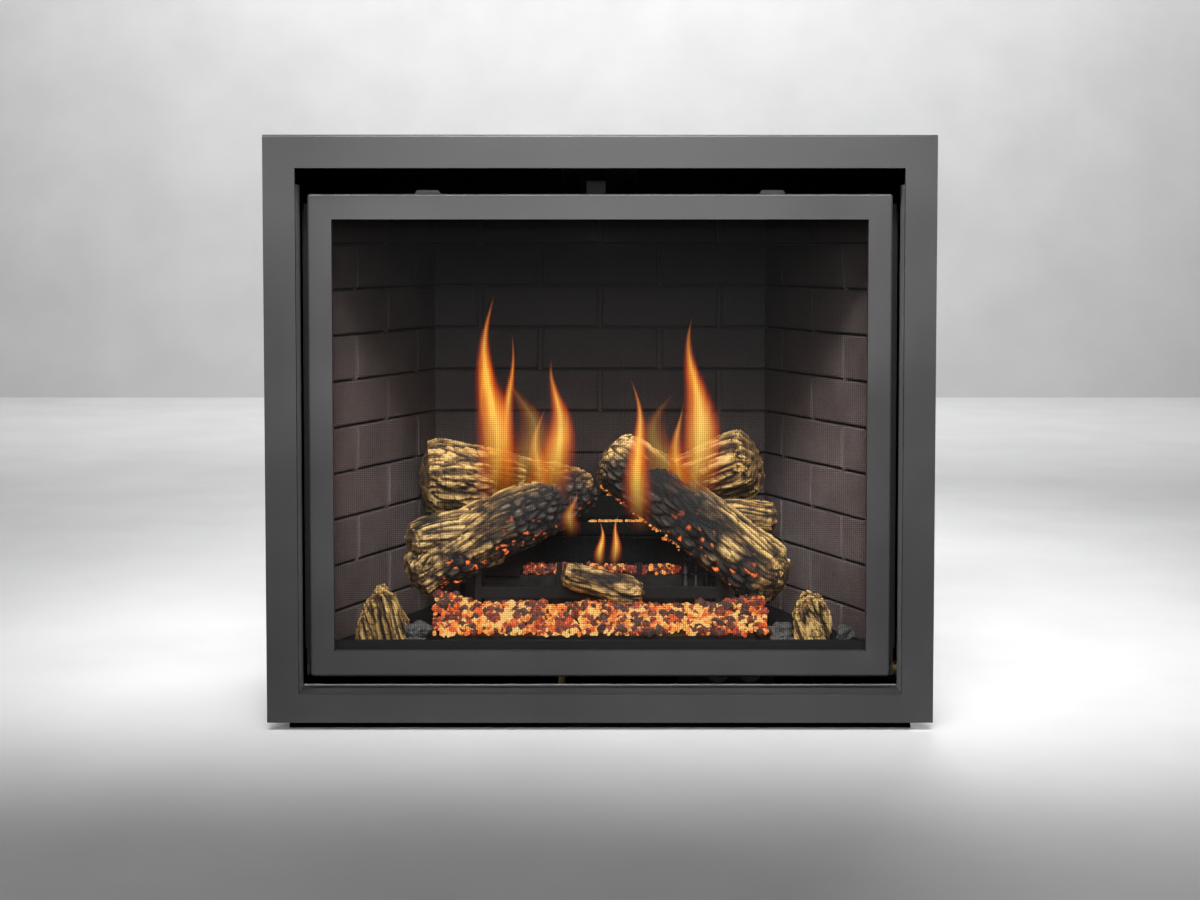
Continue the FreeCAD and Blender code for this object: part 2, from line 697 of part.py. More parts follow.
def rear_brick_panel():
    half = wall_x(SHELL_BACK, LINER_THICKNESS) - FIT
    panel = block(-half, half, LINER_BACK, SHELL_BACK, FLOOR_TOP, CEILING)
    middle = LINER_BACK_HALF
    even_start = middle - BRICK_PITCH * 3 / 2
    joints = joint_cutters(LINER_BACK_HALF * 2, even_start, even_start + BRICK_PITCH / 2, 0)
    joints.translate(place(-LINER_BACK_HALF, LINER_BACK, 0))
    return panel.cut(joints)


# Vent collars and the bracket in the hot-air slot

def inner_flue_collar():
    outer = FLUE_INNER_RADIUS + FLUE_WALL
    start = place(0, FLUE_RECESS, CEILING + SHEET)
    return pipe(start, place(0, FLUE_RECESS, FLUE_TOP), outer, FLUE_INNER_RADIUS)


def outer_air_collar():
    foot = place(0, FLUE_RECESS, CASING_HEIGHT)
    outer = AIR_INNER_RADIUS + AIR_WALL
    neck = pipe(foot, foot.add(UP * AIR_HEIGHT), outer, AIR_INNER_RADIUS)
    flange = pipe(foot, foot.add(UP * SHEET), outer + AIR_FLANGE, AIR_INNER_RADIUS)
    return neck.fuse(flange).removeSplitter()


def hood_bracket():
    left = HOOD_BRACKET_OFFSET - HOOD_BRACKET_WIDTH / 2
    right = left + HOOD_BRACKET_WIDTH
    low = CEILING + SHEET
    upright = block(left, right, FACE_BACK, FACE_BACK + SHEET, low, HOOD_BRACKET_TOP)
    foot = block(left, right, FACE_BACK, FACE_BACK + HOOD_BRACKET_FOOT, low, low + SHEET)
    return upright.fuse(foot).removeSplitter()


# Trim surround

def trim_surround():
    body = picture_frame((TRIM_HALF, TRIM_BOTTOM, TRIM_TOP), (OPENING_HALF, OPENING_BOTTOM, OPENING_TOP),
                         0, TRIM_DEPTH)
    hollow = picture_frame(
        (TRIM_HALF - TRIM_WALL, TRIM_BOTTOM + TRIM_WALL, TRIM_TOP - TRIM_TOP_WALL),
        (OPENING_HALF + TRIM_WALL, OPENING_BOTTOM - TRIM_WALL, OPENING_TOP + TRIM_WALL),
        TRIM_WALL, TRIM_DEPTH + CUT)
    front = at_recess(0)

    def top_front(edge):
        middle = edge.CenterOfMass
        return along(edge, RIGHT) and abs(middle.y - front) < FIT and abs(middle.z - TRIM_TOP) < FIT

    return round_edges(body.cut(hollow), TRIM_TOP_ROUND, top_front)


def trim_side_returns():
    """Two strips behind the trim's side bars, each with a tongue that meets the casing."""
    top = OPENING_TOP - RETURN_TOP_GAP
    outer = OPENING_HALF + SHEET
    strip = block(OPENING_HALF, outer, TRIM_DEPTH, RETURN_DEPTH, OPENING_BOTTOM, top)
    tongue = block(outer, CASING_INSIDE, RETURN_DEPTH - SHEET, RETURN_DEPTH, OPENING_BOTTOM, top)
    right = strip.fuse(tongue).removeSplitter()
    return group([right, mirrored(right)])


def trim_bottom_ledge():
    half = OPENING_HALF + SHEET
    shelf = block(-half, half, TRIM_DEPTH, LEDGE_DEPTH, OPENING_BOTTOM - SHEET, OPENING_BOTTOM)
    lip = block(-OPENING_HALF, OPENING_HALF, LEDGE_DEPTH - SHEET, LEDGE_DEPTH,
                OPENING_BOTTOM, OPENING_BOTTOM + LEDGE_LIP)
    ledge = shelf.fuse(lip).removeSplitter()
    top = OPENING_BOTTOM + LEDGE_LIP

    def lip_top(edge):
        return along(edge, RIGHT) and abs(edge.CenterOfMass.z - top) < FIT

    return round_edges(ledge, LEDGE_LIP_ROUND, lip_top)


# Glass door

def door_frame():
    opening = (DOOR_OPENING_HALF, DOOR_OPENING_BOTTOM, DOOR_OPENING_TOP)
    body = picture_frame((DOOR_HALF, DOOR_BOTTOM, DOOR_TOP), opening, DOOR_RECESS, DOOR_BACK)
    rebate = block(-REBATE_HALF, REBATE_HALF, REBATE_RECESS, DOOR_BACK + CUT, REBATE_BOTTOM, REBATE_TOP)
    hollow = picture_frame(
        (REBATE_HALF - DOOR_SKIN, REBATE_BOTTOM + DOOR_SKIN, REBATE_TOP - DOOR_SKIN),
        (opening[0] + DOOR_SKIN, opening[1] - DOOR_SKIN, opening[2] + DOOR_SKIN),
        DOOR_RECESS + DOOR_SKIN, REBATE_RECESS + CUT)
    body = body.cut(rebate).cut(hollow).cut(gasket_ring(0, DOOR_BACK + CUT))
    for side in (-1, 1):
        start = place(side * (DOOR_HALF - PIVOT_SINK), PIVOT_RECESS, PIVOT_HEIGHT)
        end = place(side * (DOOR_HALF + CUT), PIVOT_RECESS, PIVOT_HEIGHT)
        body = body.cut(rod(start, end, PIVOT_RADIUS + PIVOT_PRESS))
    return body


def gasket_ring(gap, back):
    """The rope gasket's channel, or the rope itself when a gap is left at its sides."""
    inner = REBATE_HALF + GROOVE_INSET
    outer = inner + GROOVE_WIDTH
    low = DOOR_BOTTOM + GROOVE_BOTTOM_INSET
    high = DOOR_TOP - GROOVE_TOP_INSET
    return picture_frame((outer - gap, low + gap, high - gap),
                         (inner + gap, low + GROOVE_WIDTH - gap, high - GROOVE_WIDTH + gap),
                         DOOR_BACK - GROOVE_DEPTH, back)


def door_gasket():
    return gasket_ring(GASKET_GAP, FACE_RECESS - FIT)


def door_glass():
    half = REBATE_HALF - GLASS_GAP
    return block(-half, half, REBATE_RECESS, REBATE_RECESS + GLASS_THICKNESS,
                 REBATE_BOTTOM + GLASS_GAP, REBATE_TOP - GLASS_GAP)


def glass_clips():
    """Flat clips that hold the pane from behind, along both sides."""
    front = REBATE_RECESS + GLASS_THICKNESS
    clips = []
    step = (REBATE_TOP - REBATE_BOTTOM) / CLIP_ROWS
    for row in range(CLIP_ROWS):
        low = REBATE_BOTTOM + (row + 1) * step - step / 2 - CLIP_LENGTH / 2
        clip = block(REBATE_HALF - CLIP_GRIP, REBATE_HALF, front, front + CLIP_THICKNESS,
                     low, low + CLIP_LENGTH)
        clips += [clip, mirrored(clip)]
    return group(clips)


def door_pivot_pins():
    start = place(DOOR_HALF - PIVOT_SINK, PIVOT_RECESS, PIVOT_HEIGHT)
    pin = rod(start, start.add(RIGHT * PIVOT_LENGTH), PIVOT_RADIUS)
    return group([pin, mirrored(pin)])


def door_pivot_brackets():
    inner = DOOR_HALF + PIVOT_LUG_GAP
    outer = inner + PIVOT_LUG
    lug = block(inner, outer, PIVOT_RECESS - PIVOT_LUG_REACH, FACE_RECESS,
                PIVOT_HEIGHT - PIVOT_LUG_REACH, PIVOT_HEIGHT + PIVOT_LUG_REACH)
    start = place(inner - CUT, PIVOT_RECESS, PIVOT_HEIGHT)
    lug = lug.cut(rod(start, place(outer + CUT, PIVOT_RECESS, PIVOT_HEIGHT), PIVOT_RADIUS + RUNNING))
    return group([lug, mirrored(lug)])


# Barrier screen

def screen_opening():
    return (SCREEN_HALF - SCREEN_SIDE_BAR, SCREEN_BOTTOM + SCREEN_CROSS_BAR, SCREEN_TOP - SCREEN_CROSS_BAR)


def screen_frame():
    opening = screen_opening()
    outer = block(-SCREEN_HALF, SCREEN_HALF, SCREEN_RECESS, SCREEN_BACK, SCREEN_BOTTOM, SCREEN_TOP)
    outer = round_edges(outer, SCREEN_CORNER, lambda edge: along(edge, BACK))
    front = at_recess(SCREEN_RECESS)
    outer = round_edges(outer, SCREEN_ROUND, lambda edge: abs(edge.BoundBox.YMax - front) < FIT)
    window = block(-opening[0], opening[0], SCREEN_RECESS - CUT, SCREEN_BACK + CUT, opening[1], opening[2])
    hollow = picture_frame(
        (SCREEN_HALF - SCREEN_WALL, SCREEN_BOTTOM + SCREEN_WALL, SCREEN_TOP - SCREEN_WALL),
        (opening[0] + SCREEN_WALL, opening[1] - SCREEN_WALL, opening[2] + SCREEN_WALL),
        SCREEN_RECESS + SCREEN_WALL, SCREEN_BACK + CUT)
    return outer.cut(window).cut(hollow)


def rectangle(x0, x1, z0, z1, recess):
    corners = [place(x0, recess, z0), place(x1, recess, z0), place(x1, recess, z1), place(x0, recess, z1)]
    return Part.makePolygon(corners + corners[:1])


def screen_mesh():
    """A flat net behind the screen's bars, as one holed face given its thickness."""
    opening = screen_opening()
    half = opening[0] + MESH_LAP
    low = opening[1] - MESH_LAP
    high = opening[2] + MESH_LAP
    wires = [rectangle(-half, half, low, high, SCREEN_BACK)]
    step_x = (2 * half - MESH_STRAND) / MESH_COLUMNS
    step_z = (high - low - MESH_STRAND) / MESH_ROWS
    for column in range(MESH_COLUMNS):
        for row in range(MESH_ROWS):
            x = -half + MESH_STRAND + column * step_x
            z = low + MESH_STRAND + row * step_z
            wires.append(rectangle(x, x + step_x - MESH_STRAND, z, z + step_z - MESH_STRAND, SCREEN_BACK))
    face = Part.makeFace(wires, "Part::FaceMakerCheese")
    return face.extrude(BACK * MESH_THICKNESS)


def screen_hooks():
    """Two tabs on the screen's top bar whose tongues hang over the door's top edge."""
    half = HOOK_WIDTH / 2
    top = SCREEN_TOP + HOOK_TAB
    back = SCREEN_BACK + SHEET
    rest = DOOR_TOP + FIT
    drop = DOOR_BACK + FIT
    outline = [(-half, HOOK_LOW), (half, HOOK_LOW), (half, SCREEN_TOP), (half - HOOK_TAPER, top),
               (HOOK_TAPER - half, top), (-half, SCREEN_TOP)]
    corners = [place(HOOK_OFFSET + x, SCREEN_BACK, z) for x, z in outline]
    tab = Part.Face(Part.makePolygon(corners + corners[:1])).extrude(BACK * SHEET)
    left = HOOK_OFFSET - half + HOOK_TAPER
    right = HOOK_OFFSET + half - HOOK_TAPER
    tongue = block(left, right, back, drop + SHEET, rest, rest + SHEET)
    catch = block(left, right, drop, drop + SHEET, DOOR_TOP - HOOK_DROP, rest)
    hook = tab.fuse(tongue).fuse(catch).removeSplitter()
    return group([hook, mirrored(hook)])


# Burner

def burner_boxes(wall):
    """Front tray, rear riser and the bridge between them, each set in by a wall."""
    low = FLOOR_TOP + wall
    tray_back = TRAY_RECESS + TRAY_DEPTH
    lap = BURNER_WALL * 2 if wall else 0
    tray = block(wall - TRAY_HALF, TRAY_HALF - wall, TRAY_RECESS + wall, tray_back - wall,
                 low, FLOOR_TOP + TRAY_HEIGHT - wall)
    riser = block(wall - REAR_BURNER_HALF, REAR_BURNER_HALF - wall, REAR_BURNER_RECESS + wall,
                  REAR_BURNER_RECESS + REAR_BURNER_DEPTH - wall, low, FLOOR_TOP + REAR_BURNER_HEIGHT - wall)
    bridge = block(wall - BRIDGE_HALF, BRIDGE_HALF - wall, tray_back - lap, REAR_BURNER_RECESS + lap,
                   low, FLOOR_TOP + BRIDGE_HEIGHT - wall)
    return tray.fuse(riser).fuse(bridge)


def port_row(half, recess, top):
    step = 2 * half / PORTS
    ports = []
    for number in range(PORTS):
        start = place(step / 2 - half + number * step, recess, top - BURNER_WALL - CUT)
        ports.append(rod(start, start.add(UP * (BURNER_WALL + 2 * CUT)), PORT_RADIUS))
    return ports


def burner():
    body = burner_boxes(0).removeSplitter().cut(burner_boxes(BURNER_WALL))
    tray_top = FLOOR_TOP + TRAY_HEIGHT
    ports = port_row(TRAY_HALF, TRAY_RECESS + TRAY_DEPTH / 3, tray_top)
    ports += port_row(TRAY_HALF, TRAY_RECESS + TRAY_DEPTH * 2 / 3, tray_top)
    ports += port_row(REAR_BURNER_HALF, REAR_BURNER_RECESS + REAR_BURNER_DEPTH / 2,
                      FLOOR_TOP + REAR_BURNER_HEIGHT)
    mixer = rod(place(VENTURI_X, VENTURI_RECESS, FLOOR_TOP - CUT),
                place(VENTURI_X, VENTURI_RECESS, FLOOR_TOP + BURNER_WALL), VENTURI_RADIUS + RUNNING)
    return body.cut(group(ports)).cut(mixer)


def venturi_bottom():
    return UNDER_FLOOR - VENTURI_LENGTH


def shutter_bottom():
    return venturi_bottom() + VENTURI_LIP + FIT


def air_window():
    """The opening through both sides of the venturi and of its shutter."""
    reach = VENTURI_RADIUS + SHUTTER_WALL + CUT
    low = shutter_bottom() + (SHUTTER_HEIGHT - AIR_WINDOW_HEIGHT) / 2
    half = AIR_WINDOW_WIDTH / 2
    return block(VENTURI_X - reach, VENTURI_X + reach, VENTURI_RECESS - half, VENTURI_RECESS + half,
                 low, low + AIR_WINDOW_HEIGHT)


def venturi_tube():
    foot = place(VENTURI_X, VENTURI_RECESS, venturi_bottom())
    top = place(VENTURI_X, VENTURI_RECESS, FLOOR_TOP + BURNER_WALL)
    seat = place(VENTURI_X, VENTURI_RECESS, UNDER_FLOOR)
    body = rod(foot, top, VENTURI_RADIUS)
    body = body.fuse(rod(foot, foot.add(UP * VENTURI_LIP), VENTURI_RADIUS + VENTURI_LIP))
    body = body.fuse(rod(seat.sub(UP * SHEET), seat, VENTURI_RADIUS + VENTURI_FLANGE))
    body = body.cut(rod(foot.add(UP * VENTURI_WALL), top.add(UP * CUT), VENTURI_RADIUS - VENTURI_WALL))
    body = body.cut(rod(foot.sub(UP * CUT), top, NOZZLE_RADIUS + RUNNING))
    return body.cut(air_window())


def air_shutter():
    low = place(VENTURI_X, VENTURI_RECESS, shutter_bottom())
    high = low.add(UP * SHUTTER_HEIGHT)
    outer = VENTURI_RADIUS + RUNNING + SHUTTER_WALL
    middle = shutter_bottom() + SHUTTER_HEIGHT / 2
    half = SHUTTER_TAB_WIDTH / 2
    tab = block(VENTURI_X - half, VENTURI_X + half, VENTURI_RECESS - outer - SHUTTER_TAB, VENTURI_RECESS,
                middle - SHEET, middle + SHEET)
    sleeve = rod(low, high, outer).fuse(tab)
    bore = rod(low.sub(UP * CUT), high.add(UP * CUT), VENTURI_RADIUS + RUNNING)
    return sleeve.cut(bore).cut(air_window())


def burner_orifice():
    seat = place(VENTURI_X, VENTURI_RECESS, venturi_bottom())
    low = seat.sub(UP * ORIFICE_LENGTH)
    tip = seat.add(UP * NOZZLE_LENGTH)
    body = rod(low, seat, ORIFICE_RADIUS).fuse(rod(seat, tip, NOZZLE_RADIUS))
    return body.cut(rod(low.sub(UP * CUT), tip.add(UP * CUT), JET_RADIUS))


# Gas line and controls

def gas_tubes():
    """Inlet run, feed run, burner supply and pilot supply."""
    valve_right = VALVE_LEFT + VALVE_WIDTH
    fitting_inner = CASING_HALF + INLET_PROUD - INLET_LENGTH
    inlet = pipe(place(SHUTOFF_X + SHUTOFF_LENGTH, LINE_RECESS, LINE_HEIGHT),
                 place(fitting_inner, LINE_RECESS, LINE_HEIGHT), LINE_RADIUS, GAS_WAY_RADIUS)
    feed = pipe(place(valve_right, LINE_RECESS, LINE_HEIGHT),
                place(SHUTOFF_X, LINE_RECESS, LINE_HEIGHT), LINE_RADIUS, GAS_WAY_RADIUS)
    outlet = VALVE_LEFT + SUPPLY_INSET
    supply = bent_rod([place(outlet, SUPPLY_RECESS, VALVE_BOTTOM),
                       place(outlet, SUPPLY_RECESS, SUPPLY_HEIGHT),
                       place(VENTURI_X, SUPPLY_RECESS, SUPPLY_HEIGHT),
                       place(VENTURI_X, SUPPLY_RECESS, venturi_bottom() - ORIFICE_LENGTH)],
                      SUPPLY_RADIUS, SUPPLY_BEND)
    pilot = bent_rod([place(PILOT_X, VALVE_RECESS + VALVE_DEPTH, KNOB_HEIGHT),
                      place(PILOT_X, PILOT_RECESS, KNOB_HEIGHT),
                      place(PILOT_X, PILOT_RECESS, FLOOR_TOP + PILOT_PLATE_HEIGHT - SHEET)],
                     PILOT_TUBE_RADIUS, PILOT_TUBE_BEND)
    return group([inlet, feed, supply, pilot])


def gas_inlet_fitting():
    outer_end = place(CASING_HALF + INLET_PROUD, LINE_RECESS, LINE_HEIGHT)
    inner_end = outer_end.sub(RIGHT * INLET_LENGTH)
    body = rod(inner_end, outer_end, INLET_RADIUS)
    bore_end = outer_end.sub(RIGHT * INLET_BORE_DEPTH)
    body = body.cut(rod(bore_end, outer_end.add(RIGHT * CUT), INLET_BORE_RADIUS))
    return body.cut(rod(inner_end.sub(RIGHT * CUT), outer_end, GAS_WAY_RADIUS))


def shutoff_valve():
    start = place(SHUTOFF_X, LINE_RECESS, LINE_HEIGHT)
    end = start.add(RIGHT * SHUTOFF_LENGTH)
    middle = start.add(RIGHT * (SHUTOFF_LENGTH / 2))
    boss_top = middle.add(UP * SHUTOFF_BOSS)
    body = rod(start, end, SHUTOFF_RADIUS).fuse(rod(middle, boss_top, SHUTOFF_BOSS_RADIUS))
    body = body.cut(rod(start.sub(RIGHT * CUT), end.add(RIGHT * CUT), GAS_WAY_RADIUS))
    return body.cut(rod(boss_top.sub(UP * STEM_LENGTH), boss_top.add(UP * CUT), STEM_RADIUS + RUNNING))


def shutoff_lever():
    middle = SHUTOFF_X + SHUTOFF_LENGTH / 2
    low = LINE_HEIGHT + SHUTOFF_BOSS + FIT
    half = LEVER_WIDTH / 2
    bar = block(middle - half, middle + LEVER_LENGTH, LINE_RECESS - half, LINE_RECESS + half,
                low, low + LEVER_THICKNESS)
    bar = round_edges(bar, half - SHEET, lambda edge: along(edge, UP))
    pivot = place(middle, LINE_RECESS, low)
    return bar.fuse(rod(pivot.sub(UP * (STEM_LENGTH - FIT)), pivot, STEM_RADIUS))


def gas_valve():
    body = block(VALVE_LEFT, VALVE_LEFT + VALVE_WIDTH, VALVE_RECESS, VALVE_RECESS + VALVE_DEPTH,
                 VALVE_BOTTOM, VALVE_BOTTOM + VALVE_HEIGHT)
    back = at_recess(VALVE_RECESS + VALVE_DEPTH)
    body = round_edges(body, VALVE_ROUND,
                       lambda edge: along(edge, UP) and abs(edge.CenterOfMass.y - back) < FIT)
    for x in (GAS_KNOB_X, FLAME_KNOB_X):
        start = place(x, VALVE_RECESS - CUT, KNOB_HEIGHT)
        body = body.cut(rod(start, start.add(BACK * (CUT + STEM_LENGTH)), STEM_RADIUS + RUNNING))
    return body


def valve_bracket():
    right = BRACKET_LEFT + BRACKET_WIDTH
    plate = block(BRACKET_LEFT, right, BRACKET_RECESS, VALVE_RECESS, SHEET, BRACKET_TOP)
    foot = block(BRACKET_LEFT, right, BRACKET_RECESS, VALVE_RECESS + BRACKET_FOOT,
                 SHEET, SHEET + BRACKET_SHEET)
    bracket = plate.fuse(foot).removeSplitter()
    for x, radius in ((GAS_KNOB_X, STEM_HOLE), (FLAME_KNOB_X, STEM_HOLE), (PIEZO_X, PIEZO_RADIUS + RUNNING)):
        start = place(x, BRACKET_RECESS - CUT, KNOB_HEIGHT)
        bracket = bracket.cut(rod(start, start.add(BACK * (BRACKET_SHEET + 2 * CUT)), radius))
    return bracket


def control_knob(x):
    """A round knob with a grip bar, turning on a stem in the valve."""
    back = place(x, BRACKET_RECESS - FIT, KNOB_HEIGHT)
    front = back.sub(BACK * KNOB_LENGTH)
    disc = rod(front, back, KNOB_RADIUS)
    rim = [edge for edge in disc.Edges if abs(edge.BoundBox.YMax - front.y) < FIT]
    disc = disc.makeFillet(KNOB_ROUND, rim)
    half = KNOB_GRIP_WIDTH / 2
    reach = KNOB_RADIUS - 2 * KNOB_ROUND
    front_recess = BRACKET_RECESS - FIT - KNOB_LENGTH
    grip = block(x - half, x + half, front_recess - KNOB_GRIP, front_recess + KNOB_GRIP,
                 KNOB_HEIGHT - reach, KNOB_HEIGHT + reach)
    stem_end = place(x, VALVE_RECESS + STEM_LENGTH - FIT, KNOB_HEIGHT)
    return disc.fuse(grip).fuse(rod(back, stem_end, STEM_RADIUS)).removeSplitter()


def piezo_igniter():
    front = place(PIEZO_X, BRACKET_RECESS - PIEZO_FLANGE, KNOB_HEIGHT)
    body = rod(front, front.add(BACK * PIEZO_LENGTH), PIEZO_RADIUS)
    body = body.fuse(rod(front, front.add(BACK * PIEZO_FLANGE), PIEZO_FLANGE_RADIUS))
    return body.cut(rod(front.sub(BACK * CUT), front.add(BACK * PIEZO_BORE_DEPTH), BUTTON_RADIUS + RUNNING))


def piezo_button():
    front = place(PIEZO_X, BRACKET_RECESS - PIEZO_FLANGE - BUTTON_PROUD, KNOB_HEIGHT)
    button = rod(front, front.add(BACK * BUTTON_LENGTH), BUTTON_RADIUS)
    edges = [edge for edge in button.Edges if abs(edge.BoundBox.YMax - front.y) < FIT]
    return button.makeFillet(BUTTON_ROUND, edges)


# Pilot

def pilot_deck():
    return FLOOR_TOP + PILOT_PLATE_HEIGHT


def pilot_bracket():
    """A folded plate that stands on the floor and carries the pilot's bent hood."""
    left = PILOT_X - PILOT_PLATE_WIDTH / 2
    right = left + PILOT_PLATE_WIDTH
    half = PILOT_PLATE_DEPTH / 2
    back = PILOT_RECESS + half
    deck = pilot_deck()
    upright = block(left, right, back, back + SHEET, FLOOR_TOP, deck)
    shelf = block(left, right, PILOT_RECESS - half, back + SHEET, deck - SHEET, deck)
    foot = block(left, right, back, back + PILOT_PLATE_DEPTH, FLOOR_TOP, FLOOR_TOP + SHEET)
    plate = upright.fuse(shelf).fuse(foot).removeSplitter()
    for x, radius in ((THERMOPILE_X, THERMOPILE_RADIUS), (ELECTRODE_X, ELECTRODE_RADIUS)):
        start = place(x, PILOT_RECESS, deck - SHEET - CUT)
        plate = plate.cut(rod(start, place(x, PILOT_RECESS, deck + CUT), radius + RUNNING))
    foot_point = place(PILOT_X, PILOT_RECESS, deck)
    crown = foot_point.add(UP * (PILOT_HOOD_RISE + PILOT_HOOD_BEND))
    nose = crown.sub(RIGHT * (PILOT_HOOD_BEND + PILOT_HOOD_NOSE))
    return plate.fuse(bent_rod([foot_point, crown, nose], PILOT_HOOD_RADIUS, PILOT_HOOD_BEND))


def thermopile():
    deck = place(THERMOPILE_X, PILOT_RECESS, pilot_deck())
    return rod(deck.sub(UP * THERMOPILE_BELOW), deck.add(UP * THERMOPILE_ABOVE), THERMOPILE_RADIUS)


def igniter_electrode():
    deck = place(ELECTRODE_X, PILOT_RECESS, pilot_deck())
    top = deck.add(UP * ELECTRODE_ABOVE)
    sleeve = rod(deck.sub(UP * ELECTRODE_BELOW), top, ELECTRODE_RADIUS)
    return sleeve.fuse(rod(top, top.add(UP * ELECTRODE_WIRE_LENGTH), ELECTRODE_WIRE))


# Grate, logs and embers

def finger_bars(grow):
    bars = []
    for share in FINGER_SHARES:
        x = share * GRATE_HALF
        half = FINGER_WIDTH / 2 + grow
        bars.append(block(x - half, x + half, GRATE_RECESS - grow, GRATE_RECESS + GRATE_BAR + grow,
                          GRATE_BAR_LOW, GRATE_BAR_TOP + FINGER_HEIGHT + grow))
    return bars


def log_grate():
    back = GRATE_RECESS + GRATE_BAR
    end = back + ARM_LENGTH
    body = block(-GRATE_HALF, GRATE_HALF, GRATE_RECESS, back, GRATE_BAR_LOW, GRATE_BAR_TOP)
    body = body.multiFuse(finger_bars(0))
    for share in (FINGER_SHARES[0], FINGER_SHARES[-1]):
        x = share * GRATE_HALF
        half = FINGER_WIDTH / 2
        front_leg = block(x - half, x + half, GRATE_RECESS, back, FLOOR_TOP, GRATE_BAR_TOP)
        arm = block(x - half, x + half, GRATE_RECESS, end, GRATE_BAR_LOW, GRATE_BAR_LOW + GRATE_BAR)
        rear_leg = block(x - half, x + half, end - GRATE_BAR, end, FLOOR_TOP, GRATE_BAR_LOW + GRATE_BAR)
        body = body.multiFuse([front_leg, arm, rear_leg])
    return body.removeSplitter()


def rear_log_stand():
    back = STAND_RECESS + STAND_DEPTH
    deck = block(-STAND_HALF, STAND_HALF, STAND_RECESS, back, STAND_TOP - SHEET, STAND_TOP)
    leg = block(STAND_HALF - SHEET, STAND_HALF, STAND_RECESS, back, FLOOR_TOP, STAND_TOP - SHEET)
    return group([deck, leg, mirrored(leg)])


def round_log(stations):
    """A tapering log through round sections; each station is (x, recess, z, radius)."""
    centres = [place(x, recess, z) for x, recess, z, radius in stations]
    last = len(stations) - 1
    sections = []
    for number, station in enumerate(stations):
        run = centres[min(number + 1, last)].sub(centres[max(number - 1, 0)])
        circle = Part.Circle(centres[number], run, station[3])
        sections.append(Part.Wire(circle.toShape()))
    return Part.makeLoft(sections, True, False)


def liner_log(shares, grow=0):
    """A log whose stations are shares of the liner's sizes."""
    return round_log([(x * LINER_FRONT_HALF, LINER_RECESS + recess * LINER_DEPTH,
                       FLOOR_TOP + z * LOG_SET_HEIGHT, radius * LOG_RADIUS + grow)
                      for x, recess, z, radius in shares])


def front_right_log(grow=0):
    return liner_log(FRONT_RIGHT_SHARES, grow).fuse(liner_log(FRONT_RIGHT_STUB_SHARES, grow))


def front_left_log(grow=0):
    return liner_log(FRONT_LEFT_SHARES, grow).fuse(liner_log(FRONT_LEFT_FORK_SHARES, grow))


def small_log(grow=0):
    recess = GRATE_RECESS - FIT - SMALL_LOG_RADIUS
    return round_log([(x * LINER_FRONT_HALF, recess, FLOOR_TOP + z * LOG_SET_HEIGHT,
                       radius * SMALL_LOG_RADIUS + grow)
                      for x, z, radius in SMALL_LOG_SHARES])


def grate_bar_space():
    """The grate's front bar and fingers as one block, with a clearance in front."""
    return block(-GRATE_HALF, GRATE_HALF, GRATE_RECESS - FIT, GRATE_RECESS + GRATE_BAR,
                 GRATE_BAR_LOW, GRATE_BAR_TOP + FINGER_HEIGHT)


def stand_space():
    return block(-STAND_HALF - CUT, STAND_HALF + CUT, STAND_RECESS - CUT, STAND_RECESS + STAND_DEPTH + CUT,
                 FLOOR_TOP, STAND_TOP)


def chunk(left, width, height, shares):
    """A broken log end on the floor, smaller at its front."""
    sections = []
    for recess, share in ((CHUNK_RECESS, CHUNK_TAPER_SHARE), (CHUNK_RECESS + CHUNK_DEPTH, 1)):
        points = [place(left + width / 2 + (x - 1 / 2) * width * share, recess,
                        FLOOR_TOP + z * height * share)
                  for x, z in shares]
        sections.append(Part.makePolygon(points + points[:1]))
    return Part.makeLoft(sections, True, True)


def log_chunks():
    return group([chunk(LEFT_CHUNK_X, LEFT_CHUNK_WIDTH, LEFT_CHUNK_HEIGHT, LEFT_CHUNK_SHARES),
                  chunk(RIGHT_CHUNK_X, RIGHT_CHUNK_WIDTH, RIGHT_CHUNK_HEIGHT, RIGHT_CHUNK_SHARES)])


def lava_rocks():
    rocks = []
    for x, recess, size in ROCK_SHARES:
        stretch = FreeCAD.Matrix()
        stretch.scale(ROCK_WIDTH * size / 2, ROCK_DEPTH * size / 2, ROCK_HEIGHT * size / 2)
        rock = Part.makeSphere(1).transformGeometry(stretch)
        rock.translate(place(x * LINER_FRONT_HALF, LINER_RECESS + recess * LINER_DEPTH,
                             FLOOR_TOP + ROCK_HEIGHT * size / 2))
        rocks.append(rock)
    return group(rocks)


def ember_bed():
    """The heap on the front tray and the thin layer on the rear riser."""
    back = EMBER_RECESS + EMBER_DEPTH
    crest = EMBER_RECESS + EMBER_DEPTH * EMBER_CREST_SHARE
    sections = []
    for x_share, crown in zip(EMBER_SECTION_SHARES, EMBER_CROWN_SHARES):
        x = x_share * EMBER_HALF
        top = FLOOR_TOP + EMBER_HEIGHT * crown
        points = [place(x, EMBER_RECESS, FLOOR_TOP), place(x, EMBER_RECESS, FLOOR_TOP + EMBER_FRONT),
                  place(x, crest, top), place(x, back, FLOOR_TOP + EMBER_HEIGHT * crown * EMBER_BACK_SHARE),
                  place(x, back, FLOOR_TOP)]
        sections.append(Part.makePolygon(points + points[:1]))
    heap = Part.makeLoft(sections, True, True).cut(burner_boxes(0))
    for neighbour in (front_left_log(FIT), front_right_log(FIT), small_log(FIT)):
        heap = heap.cut(neighbour)
    riser_top = FLOOR_TOP + REAR_BURNER_HEIGHT
    half = REAR_BURNER_HALF - REAR_EMBER_INSET
    layer = block(-half, half, REAR_BURNER_RECESS + REAR_EMBER_INSET,
                  REAR_BURNER_RECESS + REAR_BURNER_DEPTH - REAR_EMBER_INSET,
                  riser_top, riser_top + REAR_EMBER_HEIGHT)
    return group([heap, layer])


